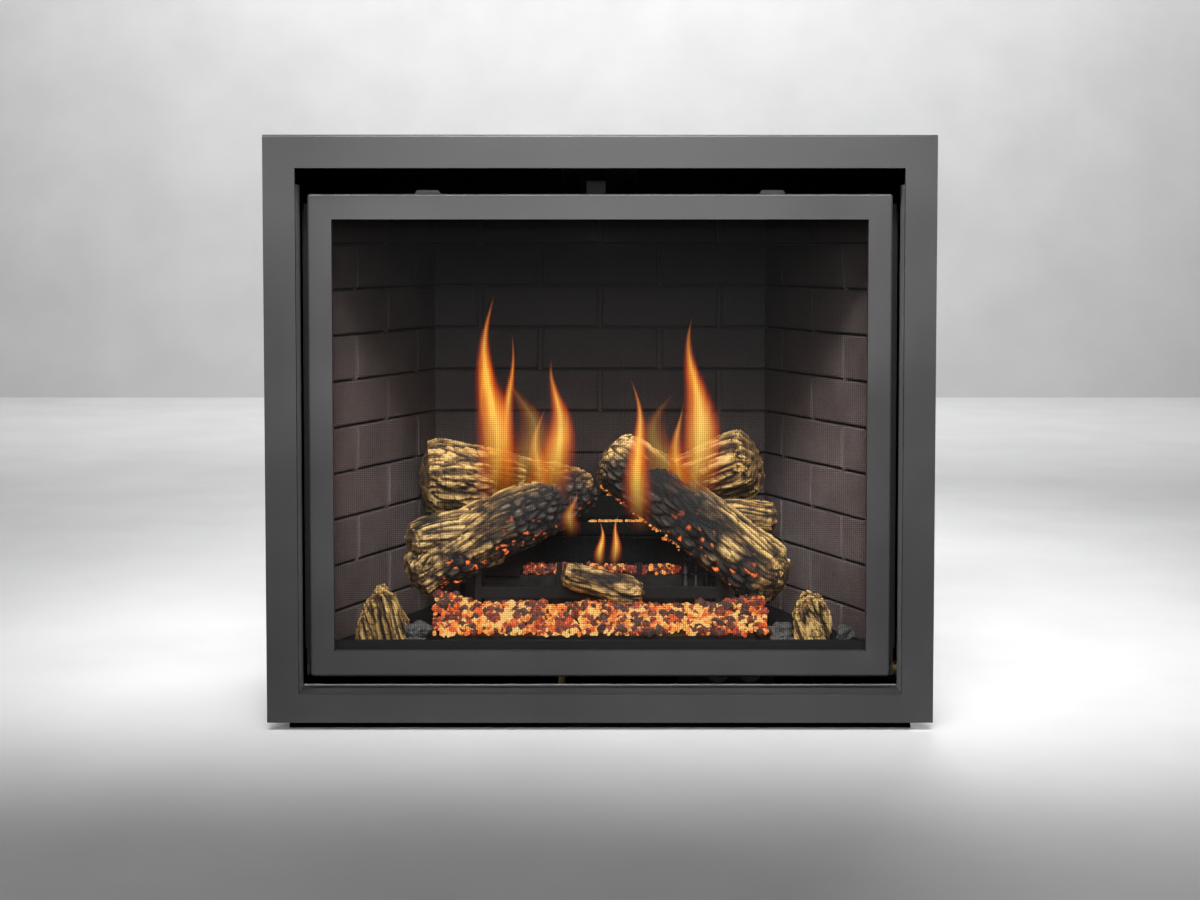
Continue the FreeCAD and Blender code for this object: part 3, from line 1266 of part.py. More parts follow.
def logs():
    """Each log by name; a log is notched where it rests on another piece."""
    fingers = group(finger_bars(FIT))
    right = front_right_log().cut(fingers)
    left = front_left_log().cut(fingers).cut(front_right_log(FIT))
    rear_left = liner_log(REAR_LEFT_SHARES).cut(front_left_log(FIT)).cut(stand_space())
    rear_right = liner_log(REAR_RIGHT_SHARES).cut(front_right_log(FIT)).cut(stand_space())
    return {"log_front_right": right, "log_front_left": left, "log_rear_left": rear_left,
            "log_rear_right": rear_right, "log_front_small": small_log().cut(grate_bar_space())}


def all_pieces():
    side = casing_side()
    wall = firebox_wall()
    panel = side_brick_panel()
    flange = nailing_flange()
    pieces = {
        "base_pan": base_pan(),
        "casing_left_side": mirrored(side),
        "casing_right_side": side.cut(inlet_hole()),
        "casing_back": casing_back(),
        "casing_top": casing_top(),
        "nailing_flanges": group([flange, mirrored(flange)]),
        "casing_screws": casing_screws(),
        "floor_supports": floor_supports(),
        "firebox_face": firebox_face(),
        "firebox_floor": firebox_floor(),
        "firebox_left_wall": mirrored(wall),
        "firebox_right_wall": wall,
        "firebox_back_wall": firebox_back_wall(),
        "firebox_ceiling": firebox_ceiling(),
        "left_brick_panel": mirrored(panel),
        "right_brick_panel": panel,
        "rear_brick_panel": rear_brick_panel(),
        "inner_flue_collar": inner_flue_collar(),
        "outer_air_collar": outer_air_collar(),
        "hood_bracket": hood_bracket(),
        "trim_surround": trim_surround(),
        "trim_side_returns": trim_side_returns(),
        "trim_bottom_ledge": trim_bottom_ledge(),
        "door_frame": door_frame(),
        "door_glass": door_glass(),
        "door_gasket": door_gasket(),
        "glass_clips": glass_clips(),
        "door_pivot_pins": door_pivot_pins(),
        "door_pivot_brackets": door_pivot_brackets(),
        "screen_frame": screen_frame(),
        "screen_mesh": screen_mesh(),
        "screen_hooks": screen_hooks(),
        "burner": burner(),
        "venturi_tube": venturi_tube(),
        "air_shutter": air_shutter(),
        "burner_orifice": burner_orifice(),
        "gas_tubes": gas_tubes(),
        "gas_inlet_fitting": gas_inlet_fitting(),
        "shutoff_valve": shutoff_valve(),
        "shutoff_lever": shutoff_lever(),
        "gas_valve": gas_valve(),
        "valve_bracket": valve_bracket(),
        "gas_knob": control_knob(GAS_KNOB_X),
        "flame_knob": control_knob(FLAME_KNOB_X),
        "piezo_igniter": piezo_igniter(),
        "piezo_button": piezo_button(),
        "pilot_bracket": pilot_bracket(),
        "thermopile": thermopile(),
        "igniter_electrode": igniter_electrode(),
        "log_grate": log_grate(),
        "rear_log_stand": rear_log_stand(),
        "log_chunks": log_chunks(),
        "lava_rocks": lava_rocks(),
        "ember_bed": ember_bed(),
    }
    pieces.update(logs())
    return pieces


os.makedirs("parts", exist_ok=True)
for name, shape in all_pieces().items():
    save(name, shape)
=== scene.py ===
"""Looks of the built-in gas fireplace: finishes, bark, bricks, embers, wire mesh and flames."""
import json
import math
import random

import bmesh
import bpy
from mathutils import Matrix, Vector, noise


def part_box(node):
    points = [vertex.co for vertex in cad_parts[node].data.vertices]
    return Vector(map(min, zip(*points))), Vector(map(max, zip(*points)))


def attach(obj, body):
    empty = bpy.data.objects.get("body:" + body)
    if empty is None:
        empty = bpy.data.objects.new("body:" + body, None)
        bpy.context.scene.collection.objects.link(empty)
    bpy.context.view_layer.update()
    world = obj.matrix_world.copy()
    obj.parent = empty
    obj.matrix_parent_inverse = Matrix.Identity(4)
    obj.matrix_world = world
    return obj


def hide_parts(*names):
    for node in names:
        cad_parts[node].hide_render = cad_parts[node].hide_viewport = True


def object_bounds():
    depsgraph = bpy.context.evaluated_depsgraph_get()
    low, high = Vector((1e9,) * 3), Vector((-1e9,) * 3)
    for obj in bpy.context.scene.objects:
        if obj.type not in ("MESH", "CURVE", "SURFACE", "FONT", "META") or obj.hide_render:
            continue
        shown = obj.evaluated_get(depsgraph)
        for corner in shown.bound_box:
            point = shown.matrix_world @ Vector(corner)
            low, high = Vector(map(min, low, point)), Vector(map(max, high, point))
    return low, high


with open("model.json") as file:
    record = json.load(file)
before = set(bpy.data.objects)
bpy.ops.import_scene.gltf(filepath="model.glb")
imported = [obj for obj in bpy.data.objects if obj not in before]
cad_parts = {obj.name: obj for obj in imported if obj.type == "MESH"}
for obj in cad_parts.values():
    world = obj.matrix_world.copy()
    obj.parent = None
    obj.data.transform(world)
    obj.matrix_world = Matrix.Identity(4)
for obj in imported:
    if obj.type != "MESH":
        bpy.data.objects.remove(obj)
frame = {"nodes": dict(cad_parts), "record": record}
CAD_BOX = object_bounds()
NODES = frame["nodes"]
noise.seed_set(5)

# Sizes of the CAD part in metres; a recess is a distance behind the trim's front
FRONT = CAD_BOX[0][1]
LINER_HALF = 0.424
LINER_REAR_HALF = 0.280
LINER_RECESS = 0.080
LINER_DEPTH = 0.345
LINER_HEIGHT = 0.666
FLOOR_TOP = 0.112
LOG_RADIUS = 0.050
TRAY_TOP = 0.124
RISER_TOP = 0.196
EMBER_HALF = 0.262
STAND_TOP = 0.272
STAND_RECESS = 0.300
# The casing's outer faces, less a hair: what lies within them is painted near-black as shade
CASING_SIDE = 0.4693
CASING_LID = 0.8672
CASING_REAR = 0.2592


def place(x, recess, z):
    """A point given by its distance behind the trim's front."""
    return Vector((x, FRONT + recess, z))


# Node helpers

def start_material(name):
    material = bpy.data.materials.new(name)
    material.use_nodes = True
    tree = material.node_tree
    return material, tree, tree.nodes["Principled BSDF"]


def add(tree, kind, links=(), **values):
    """A node with its properties set and its inputs linked or given."""
    made = tree.nodes.new(kind)
    for key, value in values.items():
        setattr(made, key, value)
    for socket, source in links:
        if hasattr(source, "is_linked"):
            tree.links.new(source, made.inputs[socket])
        else:
            made.inputs[socket].default_value = source
    return made


def object_place(tree):
    return add(tree, "ShaderNodeTexCoord").outputs["Object"]


def noise_of(tree, vector, scale, detail=4.0, rough=0.55, distortion=0.0):
    made = add(tree, "ShaderNodeTexNoise", [("Vector", vector), ("Scale", scale), ("Detail", detail),
                                            ("Roughness", rough), ("Distortion", distortion)])
    return made.outputs["Fac"]


def stretched(tree, vector, scale):
    made = add(tree, "ShaderNodeMapping", [("Vector", vector), ("Scale", scale)])
    return made.outputs["Vector"]


def ramp(tree, factor, stops):
    made = add(tree, "ShaderNodeValToRGB", [("Fac", factor)])
    points = made.color_ramp.elements
    points.remove(points[1])
    points[0].position = stops[0][0]
    points[0].color = tuple(stops[0][1]) + (1.0,)
    for position, colour in stops[1:]:
        points.new(position).color = tuple(colour) + (1.0,)
    return made.outputs["Color"]


def grey(level):
    return (level, level, level)


def maths(tree, operation, first, second=0.0):
    return add(tree, "ShaderNodeMath", [(0, first), (1, second)], operation=operation).outputs["Value"]


def mix_colour(tree, factor, first, second, blend="MIX"):
    made = add(tree, "ShaderNodeMix", data_type="RGBA", blend_type=blend)
    for socket, source in ((0, factor), (6, first), (7, second)):
        if hasattr(source, "is_linked"):
            tree.links.new(source, made.inputs[socket])
        elif socket == 0:
            made.inputs[socket].default_value = source
        else:
            made.inputs[socket].default_value = tuple(source) + (1.0,)
    return made.outputs[2]


def attribute(tree, name, output="Fac"):
    return add(tree, "ShaderNodeAttribute", attribute_name=name).outputs[output]


def bump(tree, shader, height, strength, distance):
    made = add(tree, "ShaderNodeBump", [("Height", height), ("Strength", strength), ("Distance", distance)])
    tree.links.new(made.outputs["Normal"], shader.inputs["Normal"])


def feed(tree, shader, **sources):
    for name, source in sources.items():
        socket = shader.inputs[name.replace("_", " ")]
        if hasattr(source, "is_linked"):
            tree.links.new(source, socket)
        else:
            socket.default_value = source


# Finishes

def painted_steel(name, dark, light, roughness, grain=1400.0, gloss=0.5, highlight_above=None):
    """Powder coat: fine orange-peel grain, slow colour drift, and, above a height, a paler painted highlight where a
    lip catches the light.
    """
    material, tree, shader = start_material(name)
    spot = object_place(tree)
    drift = noise_of(tree, spot, 5.0, 3.0)
    fine = noise_of(tree, spot, grain, 2.0)
    base = ramp(tree, drift, [(0.3, dark), (0.7, light)])
    speck = ramp(tree, fine, [(0.35, grey(0.86)), (0.65, grey(1.0))])
    coat = mix_colour(tree, 1.0, base, speck, "MULTIPLY")
    if highlight_above:
        height = add(tree, "ShaderNodeSeparateXYZ", [("Vector", spot)]).outputs["Z"]
        # Painted highlight: paler paint above the given height
        coat = mix_colour(tree, maths(tree, "GREATER_THAN", height, highlight_above), coat, (0.34, 0.335, 0.33))
    feed(tree, shader, Base_Color=coat)
    feed(tree, shader, Roughness=ramp(tree, drift, [(0.3, grey(roughness - 0.05)), (0.7, grey(roughness + 0.06))]))
    feed(tree, shader, Specular_IOR_Level=gloss)
    bump(tree, shader, fine, 0.10, 0.0006)
    return material


def galvanised():
    """Zinc-coated sheet with a pale crystal spangle, painted near-black within the casing as shade."""
    material, tree, shader = start_material("galvanised_steel")
    spot = object_place(tree)
    warp = noise_of(tree, spot, 40.0, 2.0)
    cells = add(tree, "ShaderNodeTexVoronoi", [("Vector", spot), ("Scale", 115.0), ("Randomness", 1.0)])
    tone = add(tree, "ShaderNodeSeparateColor", [("Color", cells.outputs["Color"])]).outputs["Red"]
    spangle = ramp(tree, tone, [(0.0, grey(0.42)), (1.0, grey(0.52))])
    stain = ramp(tree, noise_of(tree, spot, 3.0, 5.0), [(0.35, grey(0.78)), (0.7, grey(1.0))])
    sheet = mix_colour(tree, 1.0, spangle, stain, "MULTIPLY")
    split = add(tree, "ShaderNodeSeparateXYZ", [("Vector", spot)])
    # Painted shade: within the casing the sheet turns near-black, with little gloss and no metal
    inside = maths(tree, "LESS_THAN", maths(tree, "ABSOLUTE", split.outputs["X"]), CASING_SIDE)
    inside = maths(tree, "MULTIPLY", inside, maths(tree, "LESS_THAN", split.outputs["Z"], CASING_LID))
    inside = maths(tree, "MULTIPLY", inside, maths(tree, "LESS_THAN", split.outputs["Y"], CASING_REAR))
    feed(tree, shader, Base_Color=mix_colour(tree, inside, sheet, (0.003, 0.003, 0.003)))
    feed(tree, shader, Specular_IOR_Level=ramp(tree, inside, [(0.0, grey(0.5)), (1.0, grey(0.05))]))
    feed(tree, shader, Metallic=ramp(tree, inside, [(0.0, grey(0.85)), (1.0, grey(0.0))]))
    feed(tree, shader, Roughness=ramp(tree, tone, [(0.0, grey(0.40)), (1.0, grey(0.50))]))
    bump(tree, shader, warp, 0.05, 0.001)
    return material


def machined(name, dark, light, roughness, grain=(30.0, 30.0, 900.0)):
    """Bare turned or drawn metal with fine tool lines and a faint tarnish."""
    material, tree, shader = start_material(name)
    spot = object_place(tree)
    lines = noise_of(tree, stretched(tree, spot, grain), 1.0, 3.0)
    tarnish = noise_of(tree, spot, 45.0, 4.0)
    feed(tree, shader, Base_Color=ramp(tree, tarnish, [(0.3, dark), (0.68, light)]), Metallic=1.0)
    feed(tree, shader, Roughness=ramp(tree, lines, [(0.3, grey(roughness - 0.08)), (0.7, grey(roughness + 0.1))]))
    bump(tree, shader, lines, 0.12, 0.0003)
    return material


def moulded_plastic(name, dark, light, roughness):
    material, tree, shader = start_material(name)
    spot = object_place(tree)
    pores = noise_of(tree, spot, 2200.0, 2.0)
    feed(tree, shader, Base_Color=ramp(tree, noise_of(tree, spot, 60.0), [(0.3, dark), (0.7, light)]))
    feed(tree, shader, Roughness=ramp(tree, pores, [(0.3, grey(roughness)), (0.7, grey(roughness + 0.1))]))
    bump(tree, shader, pores, 0.12, 0.0002)
    return material


def clear_glass():
    """Thin clear pane: mostly see-through, with a Fresnel gloss."""
    material, tree, shader = start_material("door_glass")
    spot = object_place(tree)
    smear = noise_of(tree, spot, 6.0, 3.0)
    feed(tree, shader, Roughness=ramp(tree, smear, [(0.3, grey(0.02)), (0.75, grey(0.06))]))
    feed(tree, shader, Base_Color=ramp(tree, smear, [(0.3, grey(0.004)), (0.7, grey(0.010))]))
    feed(tree, shader, Alpha=0.035)
    return material


def brick_finish():
    """Dark brown-grey moulded brick with painted shade that thickens towards the ceiling and the back."""
    material, tree, shader = start_material("brick_liner")
    spot = object_place(tree)
    split = add(tree, "ShaderNodeSeparateXYZ", [("Vector", spot)])
    blotch = noise_of(tree, spot, 14.0, 5.0)
    grain = noise_of(tree, spot, 320.0, 4.0, 0.7)
    clay = ramp(tree, blotch, [(0.25, (0.155, 0.114, 0.110)), (0.55, (0.215, 0.166, 0.160)),
                               (0.8, (0.270, 0.212, 0.204))])
    tone = mix_colour(tree, attribute(tree, "tone"), clay, (0.250, 0.206, 0.200))
    pores = ramp(tree, grain, [(0.32, grey(0.62)), (0.52, grey(1.0))])
    clay = mix_colour(tree, 1.0, tone, pores, "MULTIPLY")
    # Painted shade: the clay darkens with height and depth, towards the ceiling and the back
    lift = maths(tree, "MULTIPLY", split.outputs["Y"], 0.95)
    level = maths(tree, "ADD", split.outputs["Z"], lift)
    wander = maths(tree, "MULTIPLY", noise_of(tree, spot, 5.0, 2.0), 0.06)
    height_shade = ramp(tree, maths(tree, "ADD", level, wander), [(0.34, grey(0.78)), (0.50, grey(0.50)), (0.66, grey(0.13)),
                                                          (0.80, grey(0.02))])
    shaded_clay = mix_colour(tree, 1.0, clay, height_shade, "MULTIPLY")
    # Painted shade: a near-black patch low on the rear wall, behind and between the logs
    beside = ramp(tree, maths(tree, "ABSOLUTE", split.outputs["X"]), [(0.10, grey(1.0)), (0.19, grey(0.0))])
    low = ramp(tree, split.outputs["Z"], [(0.30, grey(1.0)), (0.38, grey(0.0))])
    rear = maths(tree, "GREATER_THAN", split.outputs["Y"], 0.15)
    patch = maths(tree, "MULTIPLY", maths(tree, "MULTIPLY", beside, low), rear)
    shaded_clay = mix_colour(tree, patch, shaded_clay, (0.002, 0.002, 0.002))
    # Painted shade: the backing seen in the raked bed joints is darkened to near-black
    joint = ramp(tree, attribute(tree, "shade"), [(0.0, grey(0.03)), (1.0, grey(1.0))])
    feed(tree, shader, Base_Color=mix_colour(tree, 1.0, shaded_clay, joint, "MULTIPLY"), Roughness=0.82)
    bump(tree, shader, grain, 0.35, 0.0012)
    return material


def bark_finish():
    """Painted bark: colour follows the relief, with furrows darkened to near-black as painted shade and ridges
    golden as painted highlight over the bark's own darker furrows; black char whose raised edges are paler, partly
    ash and partly painted highlight; and live embers.
    """
    material, tree, shader = start_material("bark")
    spot = object_place(tree)
    fine = noise_of(tree, spot, 420.0, 5.0, 0.65)
    patch = noise_of(tree, spot, 26.0, 3.0)
    relief = maths(tree, "ADD", attribute(tree, "relief"), maths(tree, "MULTIPLY", fine, 0.42))
    relief = maths(tree, "SUBTRACT", relief, 0.21)
    relief = maths(tree, "ADD", relief, maths(tree, "MULTIPLY", maths(tree, "SUBTRACT", patch, 0.5), 0.35))
    # Painted shade and highlight: the deepest furrows near-black and the ridge tops golden, over the bark's own
    # darker furrows
    wood = ramp(tree, relief, [(0.24, (0.003, 0.002, 0.001)), (0.40, (0.026, 0.014, 0.006)),
                               (0.58, (0.115, 0.062, 0.020)), (0.76, (0.34, 0.200, 0.064)),
                               (0.95, (0.74, 0.50, 0.18))])
    # Char: black, with raised edges paler, partly ash and partly painted highlight
    burnt = ramp(tree, relief, [(0.25, (0.002, 0.002, 0.002)), (0.58, (0.014, 0.011, 0.009)),
                                (0.78, (0.050, 0.041, 0.032)), (0.98, (0.17, 0.145, 0.11))])
    feed(tree, shader, Base_Color=mix_colour(tree, attribute(tree, "char"), wood, burnt), Roughness=0.85)
    glow = attribute(tree, "ember")
    feed(tree, shader, Emission_Color=ramp(tree, fine, [(0.3, (0.9, 0.06, 0.01)), (0.7, (1.0, 0.32, 0.06))]))
    feed(tree, shader, Emission_Strength=maths(tree, "MULTIPLY", glow, 2.2))
    bump(tree, shader, fine, 0.5, 0.002)
    return material


def ember_finish():
    """Each lump carries its own heat; the cooler ones glow dimly over a dark base."""
    material, tree, shader = start_material("embers")
    spot = object_place(tree)
    heat = attribute(tree, "warmth")
    mottle = noise_of(tree, spot, 330.0, 3.0)
    warm = maths(tree, "ADD", heat, maths(tree, "MULTIPLY", maths(tree, "SUBTRACT", mottle, 0.5), 0.5))
    glow = ramp(tree, warm, [(0.16, (0.01, 0.001, 0.0)), (0.36, (0.35, 0.012, 0.002)), (0.55, (0.95, 0.10, 0.008)),
                             (0.74, (1.0, 0.34, 0.04)), (0.95, (1.0, 0.66, 0.20))])
    feed(tree, shader, Base_Color=ramp(tree, mottle, [(0.3, (0.018, 0.010, 0.008)), (0.7, (0.12, 0.06, 0.04))]))
    feed(tree, shader, Emission_Color=glow, Roughness=0.8)
    feed(tree, shader, Emission_Strength=ramp(tree, warm, [(0.2, grey(0.25)), (0.6, grey(0.9)), (0.95, grey(1.0))]))
    bump(tree, shader, mottle, 0.4, 0.002)
    return material


def rock_finish():
    material, tree, shader = start_material("rock")
    spot = object_place(tree)
    pits = noise_of(tree, spot, 260.0, 5.0, 0.7)
    feed(tree, shader, Base_Color=ramp(tree, pits, [(0.3, (0.010, 0.010, 0.010)), (0.52, (0.080, 0.078, 0.074)),
                                                   (0.72, (0.19, 0.185, 0.175))]), Roughness=0.9)
    bump(tree, shader, pits, 0.7, 0.003)
    return material


def rope_finish():
    material, tree, shader = start_material("gasket_rope")
    spot = object_place(tree)
    weave = add(tree, "ShaderNodeTexWave", [("Vector", spot), ("Scale", 160.0), ("Distortion", 2.0)],
                bands_direction="DIAGONAL")
    feed(tree, shader, Base_Color=ramp(tree, weave.outputs["Fac"], [(0.2, grey(0.04)), (0.8, grey(0.16))]))
    feed(tree, shader, Roughness=0.95)
    bump(tree, shader, weave.outputs["Fac"], 0.5, 0.001)
    return material


def flame_finish():
    """Soft-edged fire: colour and opacity follow the tongue's own width and height."""
    material, tree, shader = start_material("flame")
    where = add(tree, "ShaderNodeSeparateXYZ", [("Vector", attribute(tree, "tongue", "Vector"))])
    across = where.outputs["X"]
    height = where.outputs["Y"]
    spot = object_place(tree)
    streak = noise_of(tree, stretched(tree, spot, (60.0, 60.0, 9.0)), 1.0, 2.0, 0.5, 0.6)
    edge = maths(tree, "ADD", across, maths(tree, "MULTIPLY", maths(tree, "SUBTRACT", streak, 0.5), 0.5))
    cooler = ramp(tree, height, [(0.0, grey(0.42)), (0.32, grey(0.10)), (0.5, grey(0.12)), (1.0, grey(0.36))])
    core = maths(tree, "ADD", edge, cooler)
    colour = ramp(tree, core, [(0.15, (1.0, 0.60, 0.10)), (0.45, (1.0, 0.34, 0.028)), (0.75, (0.95, 0.13, 0.008)),
                               (1.0, (0.55, 0.03, 0.002))])
    side = ramp(tree, edge, [(0.1, grey(1.0)), (0.45, grey(0.6)), (0.75, grey(0.2)), (1.0, grey(0.0))])
    rise = ramp(tree, height, [(0.0, grey(0.0)), (0.12, grey(0.10)), (0.28, grey(0.48)), (0.46, grey(0.95)),
                               (0.72, grey(0.78)), (1.0, grey(0.0))])
    feed(tree, shader, Base_Color=ramp(tree, streak, [(0.3, grey(0.0)), (0.7, (0.01, 0.002, 0.0))]))
    feed(tree, shader, Emission_Color=colour, Emission_Strength=1.5, Roughness=1.0)
    strength = attribute(tree, "body")
    feed(tree, shader, Alpha=maths(tree, "MULTIPLY", maths(tree, "MULTIPLY", side, rise), strength))
    return material


# Modelling helpers

def finished(bm, name, material, body, replaced=(), smooth=True):
    """Turns the worked mesh into a piece that rides a CAD body."""
    bmesh.ops.recalc_face_normals(bm, faces=bm.faces)
    for face in bm.faces:
        face.smooth = smooth
    mesh = bpy.data.meshes.new(name)
    bm.to_mesh(mesh)
    bm.free()
    mesh.materials.append(material)
    piece = bpy.data.objects.new(name, mesh)
    bpy.context.scene.collection.objects.link(piece)
    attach(piece, body)
    if replaced:
        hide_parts(*replaced)


def join_to(bm, limb):
    """Adds one worked limb to the piece's mesh."""
    shape = bpy.data.meshes.new("limb")
    limb.to_mesh(shape)
    limb.free()
    bm.from_mesh(shape)
    bpy.data.meshes.remove(shape)


def fade(value, low, high):
    """A smooth step from 0 at low to 1 at high."""
    share = max(0.0, min(1.0, (value - low) / (high - low)))
    return share * share * (3.0 - 2.0 * share)


def smooth_line(stations, share):
    """A curve through the stations: place and radius at a share of its length."""
    spans = len(stations) - 1
    run = min(share * spans, spans - 1e-6)
    first = int(run)
    step = run - first
    near = [stations[max(0, min(spans, first + offset))] for offset in (-1, 0, 1, 2)]
    line = []
    for before, here, there, after in zip(*near):
        bend = 2 * before - 5 * here + 4 * there - after
        twist = 3 * here - before - 3 * there + after
        line.append(0.5 * (2 * here + (there - before) * step + bend * step ** 2 + twist * step ** 3))
    return line


# Bark logs

# Hottest places over the burner: x, recess, z and reach
HOT_SPOTS = [(-0.045, 0.215, 0.250, 0.150), (0.075, 0.200, 0.270, 0.150), (-0.190, 0.165, 0.170, 0.090),
             (0.200, 0.165, 0.170, 0.085)]


def burnt_share(spot):
    """How far the bark is charred, by how near it lies to the hottest places over the burner."""
    wander = 0.035 * noise.noise(spot * 28.0)
    most = 0.0
    for x, recess, z, reach in HOT_SPOTS:
        away = (spot - place(x, recess, z)).length + wander
        most = max(most, 1.0 - fade(away, reach * 0.62, reach))
    return most


def bark_height(around, along, seed):
    """Long furrows between broken ridges, as a share from furrow floor to ridge top."""
    shift = Vector((seed * 3.1, seed * 1.7, seed * 5.3))
    wander = noise.noise_vector(Vector((around.x * 16, around.y * 16, along * 13)) + shift) * 0.007
    spot = Vector((around.x, around.y, along * 0.085)) + wander
    broad = min(1.0, abs(noise.noise(spot * 105.0 + shift)) * 3.1)
    narrow = min(1.0, abs(noise.noise(spot * 250.0 + shift)) * 3.0)
    crack = min(1.0, abs(noise.noise(Vector((around.x * 70, around.y * 70, along * 58)) + shift)) * 7.0)
    grit = noise.noise(Vector((around.x, around.y, along * 0.4)) * 480.0 + shift)
    return max(0.0, (0.55 * broad + 0.30 * narrow + 0.15) * (0.72 + 0.28 * crack) + 0.10 * grit)


def char_height(around, along, seed):
    """Burnt wood checks into blocks with cracks between them."""
    spot = Vector((around.x, around.y, along * 0.65)) * 78.0 + Vector((seed, 0.0, seed))
    near = noise.voronoi(spot)[0]
    return min(1.0, (near[1] - near[0]) * 2.6)


def add_log(bm, stations, seed, around=170, rows=200, depth=0.0085, unevenness=0.10, charred=1.0):
    """One log of bark: a long cylinder drawn along the stations, with rough split ends."""
    limb = bmesh.new()
    relief = limb.verts.layers.float.new("relief")
    char = limb.verts.layers.float.new("char")
    ember = limb.verts.layers.float.new("ember")
    bmesh.ops.create_cone(limb, cap_ends=True, segments=around, radius1=1, radius2=1, depth=1)
    long_edges = [edge for edge in limb.edges if abs(edge.verts[0].co.z - edge.verts[1].co.z) > 0.5]
    bmesh.ops.subdivide_edges(limb, edges=long_edges, cuts=rows, use_grid_fill=True)
    caps = [face for face in limb.faces if len(face.verts) > 4]
    for _ in range(6):
        bmesh.ops.inset_individual(limb, faces=caps, thickness=0.13)
    bmesh.ops.poke(limb, faces=caps)
    lengths = [Vector(smooth_line(stations, step / 40)[:3]) for step in range(41)]
    total = sum((b - a).length for a, b in zip(lengths, lengths[1:]))
    for vert in limb.verts:
        share = vert.co.z + 0.5
        turn = math.atan2(vert.co.y, vert.co.x)
        inside = math.hypot(vert.co.x, vert.co.y)
        x, y, z, radius = smooth_line(stations, share)
        ahead = Vector(smooth_line(stations, min(1.0, share + 0.01))[:3])
        behind = Vector(smooth_line(stations, max(0.0, share - 0.01))[:3])
        run = (ahead - behind).normalized()
        side = run.cross(Vector((0.0, 0.0, 1.0))).normalized()
        up = side.cross(run)
        out = side * math.cos(turn) + up * math.sin(turn)
        ring = Vector((math.cos(turn), math.sin(turn))) * radius
        along = share * total
        centre = Vector((x, y, z))
        rough = 1.0 + unevenness * noise.noise(centre * 14.0 + out * 1.6 + Vector((seed, seed, 0.0)))
        spot = centre + out * radius * rough * inside
        burnt = burnt_share(spot) * charred
        wood = bark_height(ring, along, seed)
        blocks = char_height(ring, along, seed)
        height = wood + (0.80 * blocks * (0.55 + 0.45 * wood) + 0.10 - wood) * burnt * 0.85
        on_bark = inside > 0.99
        if on_bark:
            spot = spot + out * (height - 0.58) * depth
        else:
            splinter = noise.noise(Vector((ring.x * inside * 120, ring.y * inside * 120, seed)))
            bulge = 0.28 * radius * (1.0 - inside ** 2) * (1.0 if share > 0.5 else -1.0)
            spot = spot + run * (bulge + 0.006 * splinter)
            height = 0.55 + 0.5 * splinter
        vert.co = spot
        vert[relief] = height
        vert[char] = burnt
        warm = burnt * fade(noise.noise(spot * 95.0), 0.26, 0.5) * (1.0 - fade(height, 0.2, 0.45))
        vert[ember] = warm * (1.0 - fade(spot.z, 0.22, 0.34))
    bmesh.ops.recalc_face_normals(limb, faces=limb.faces)
    join_to(bm, limb)


def log_stations(shares):
    """Stations given as shares of the liner's half width, depth and height, and of the usual radius."""
    made = []
    for across, back, lift, thick in shares:
        spot = place(across * LINER_HALF, LINER_RECESS + back * LINER_DEPTH, FLOOR_TOP + lift * LINER_HEIGHT)
        made.append((spot.x, spot.y, spot.z, thick * LOG_RADIUS))
    return made


# Each log is one or more limbs of stations: shares across, back and up the liner, and of the usual radius
LOGS = {
    "log_rear_left": [[(-0.665, 0.62, 0.352, 1.06), (-0.61, 0.63, 0.35, 1.26), (-0.38, 0.68, 0.33, 1.08),
                       (-0.10, 0.74, 0.30, 0.84)]],
    "log_front_left": [[(-0.038, 0.61, 0.33, 0.56), (-0.19, 0.54, 0.296, 0.92), (-0.377, 0.458, 0.246, 1.02),
                        (-0.55, 0.377, 0.19, 0.98), (-0.69, 0.307, 0.132, 0.70)],
                       [(-0.50, 0.40, 0.226, 0.80), (-0.62, 0.345, 0.224, 0.74), (-0.70, 0.31, 0.213, 0.62)]],
    "log_front_right": [[(0.04, 0.50, 0.415, 0.72), (0.085, 0.485, 0.395, 1.02), (0.27, 0.44, 0.31, 1.0),
                         (0.46, 0.385, 0.215, 1.0), (0.62, 0.33, 0.14, 0.98), (0.675, 0.315, 0.122, 0.70)],
                        [(0.40, 0.46, 0.27, 0.50), (0.55, 0.45, 0.268, 0.54), (0.655, 0.44, 0.265, 0.48)]],
    "log_rear_right": [[(0.24, 0.745, 0.30, 0.86), (0.40, 0.70, 0.345, 0.96), (0.55, 0.655, 0.384, 1.06),
                        (0.59, 0.643, 0.394, 0.90)]],
}


# Chunks as front outlines of x and z
CHUNK_FRONT = 0.106
CHUNK_BACK = 0.146
LEFT_CHUNK = [(-0.379, 0.113), (-0.373, 0.147), (-0.345, 0.191), (-0.321, 0.177), (-0.301, 0.132), (-0.303, 0.113)]
RIGHT_CHUNK = [(0.303, 0.113), (0.304, 0.155), (0.323, 0.181), (0.348, 0.170), (0.360, 0.138), (0.357, 0.113)]


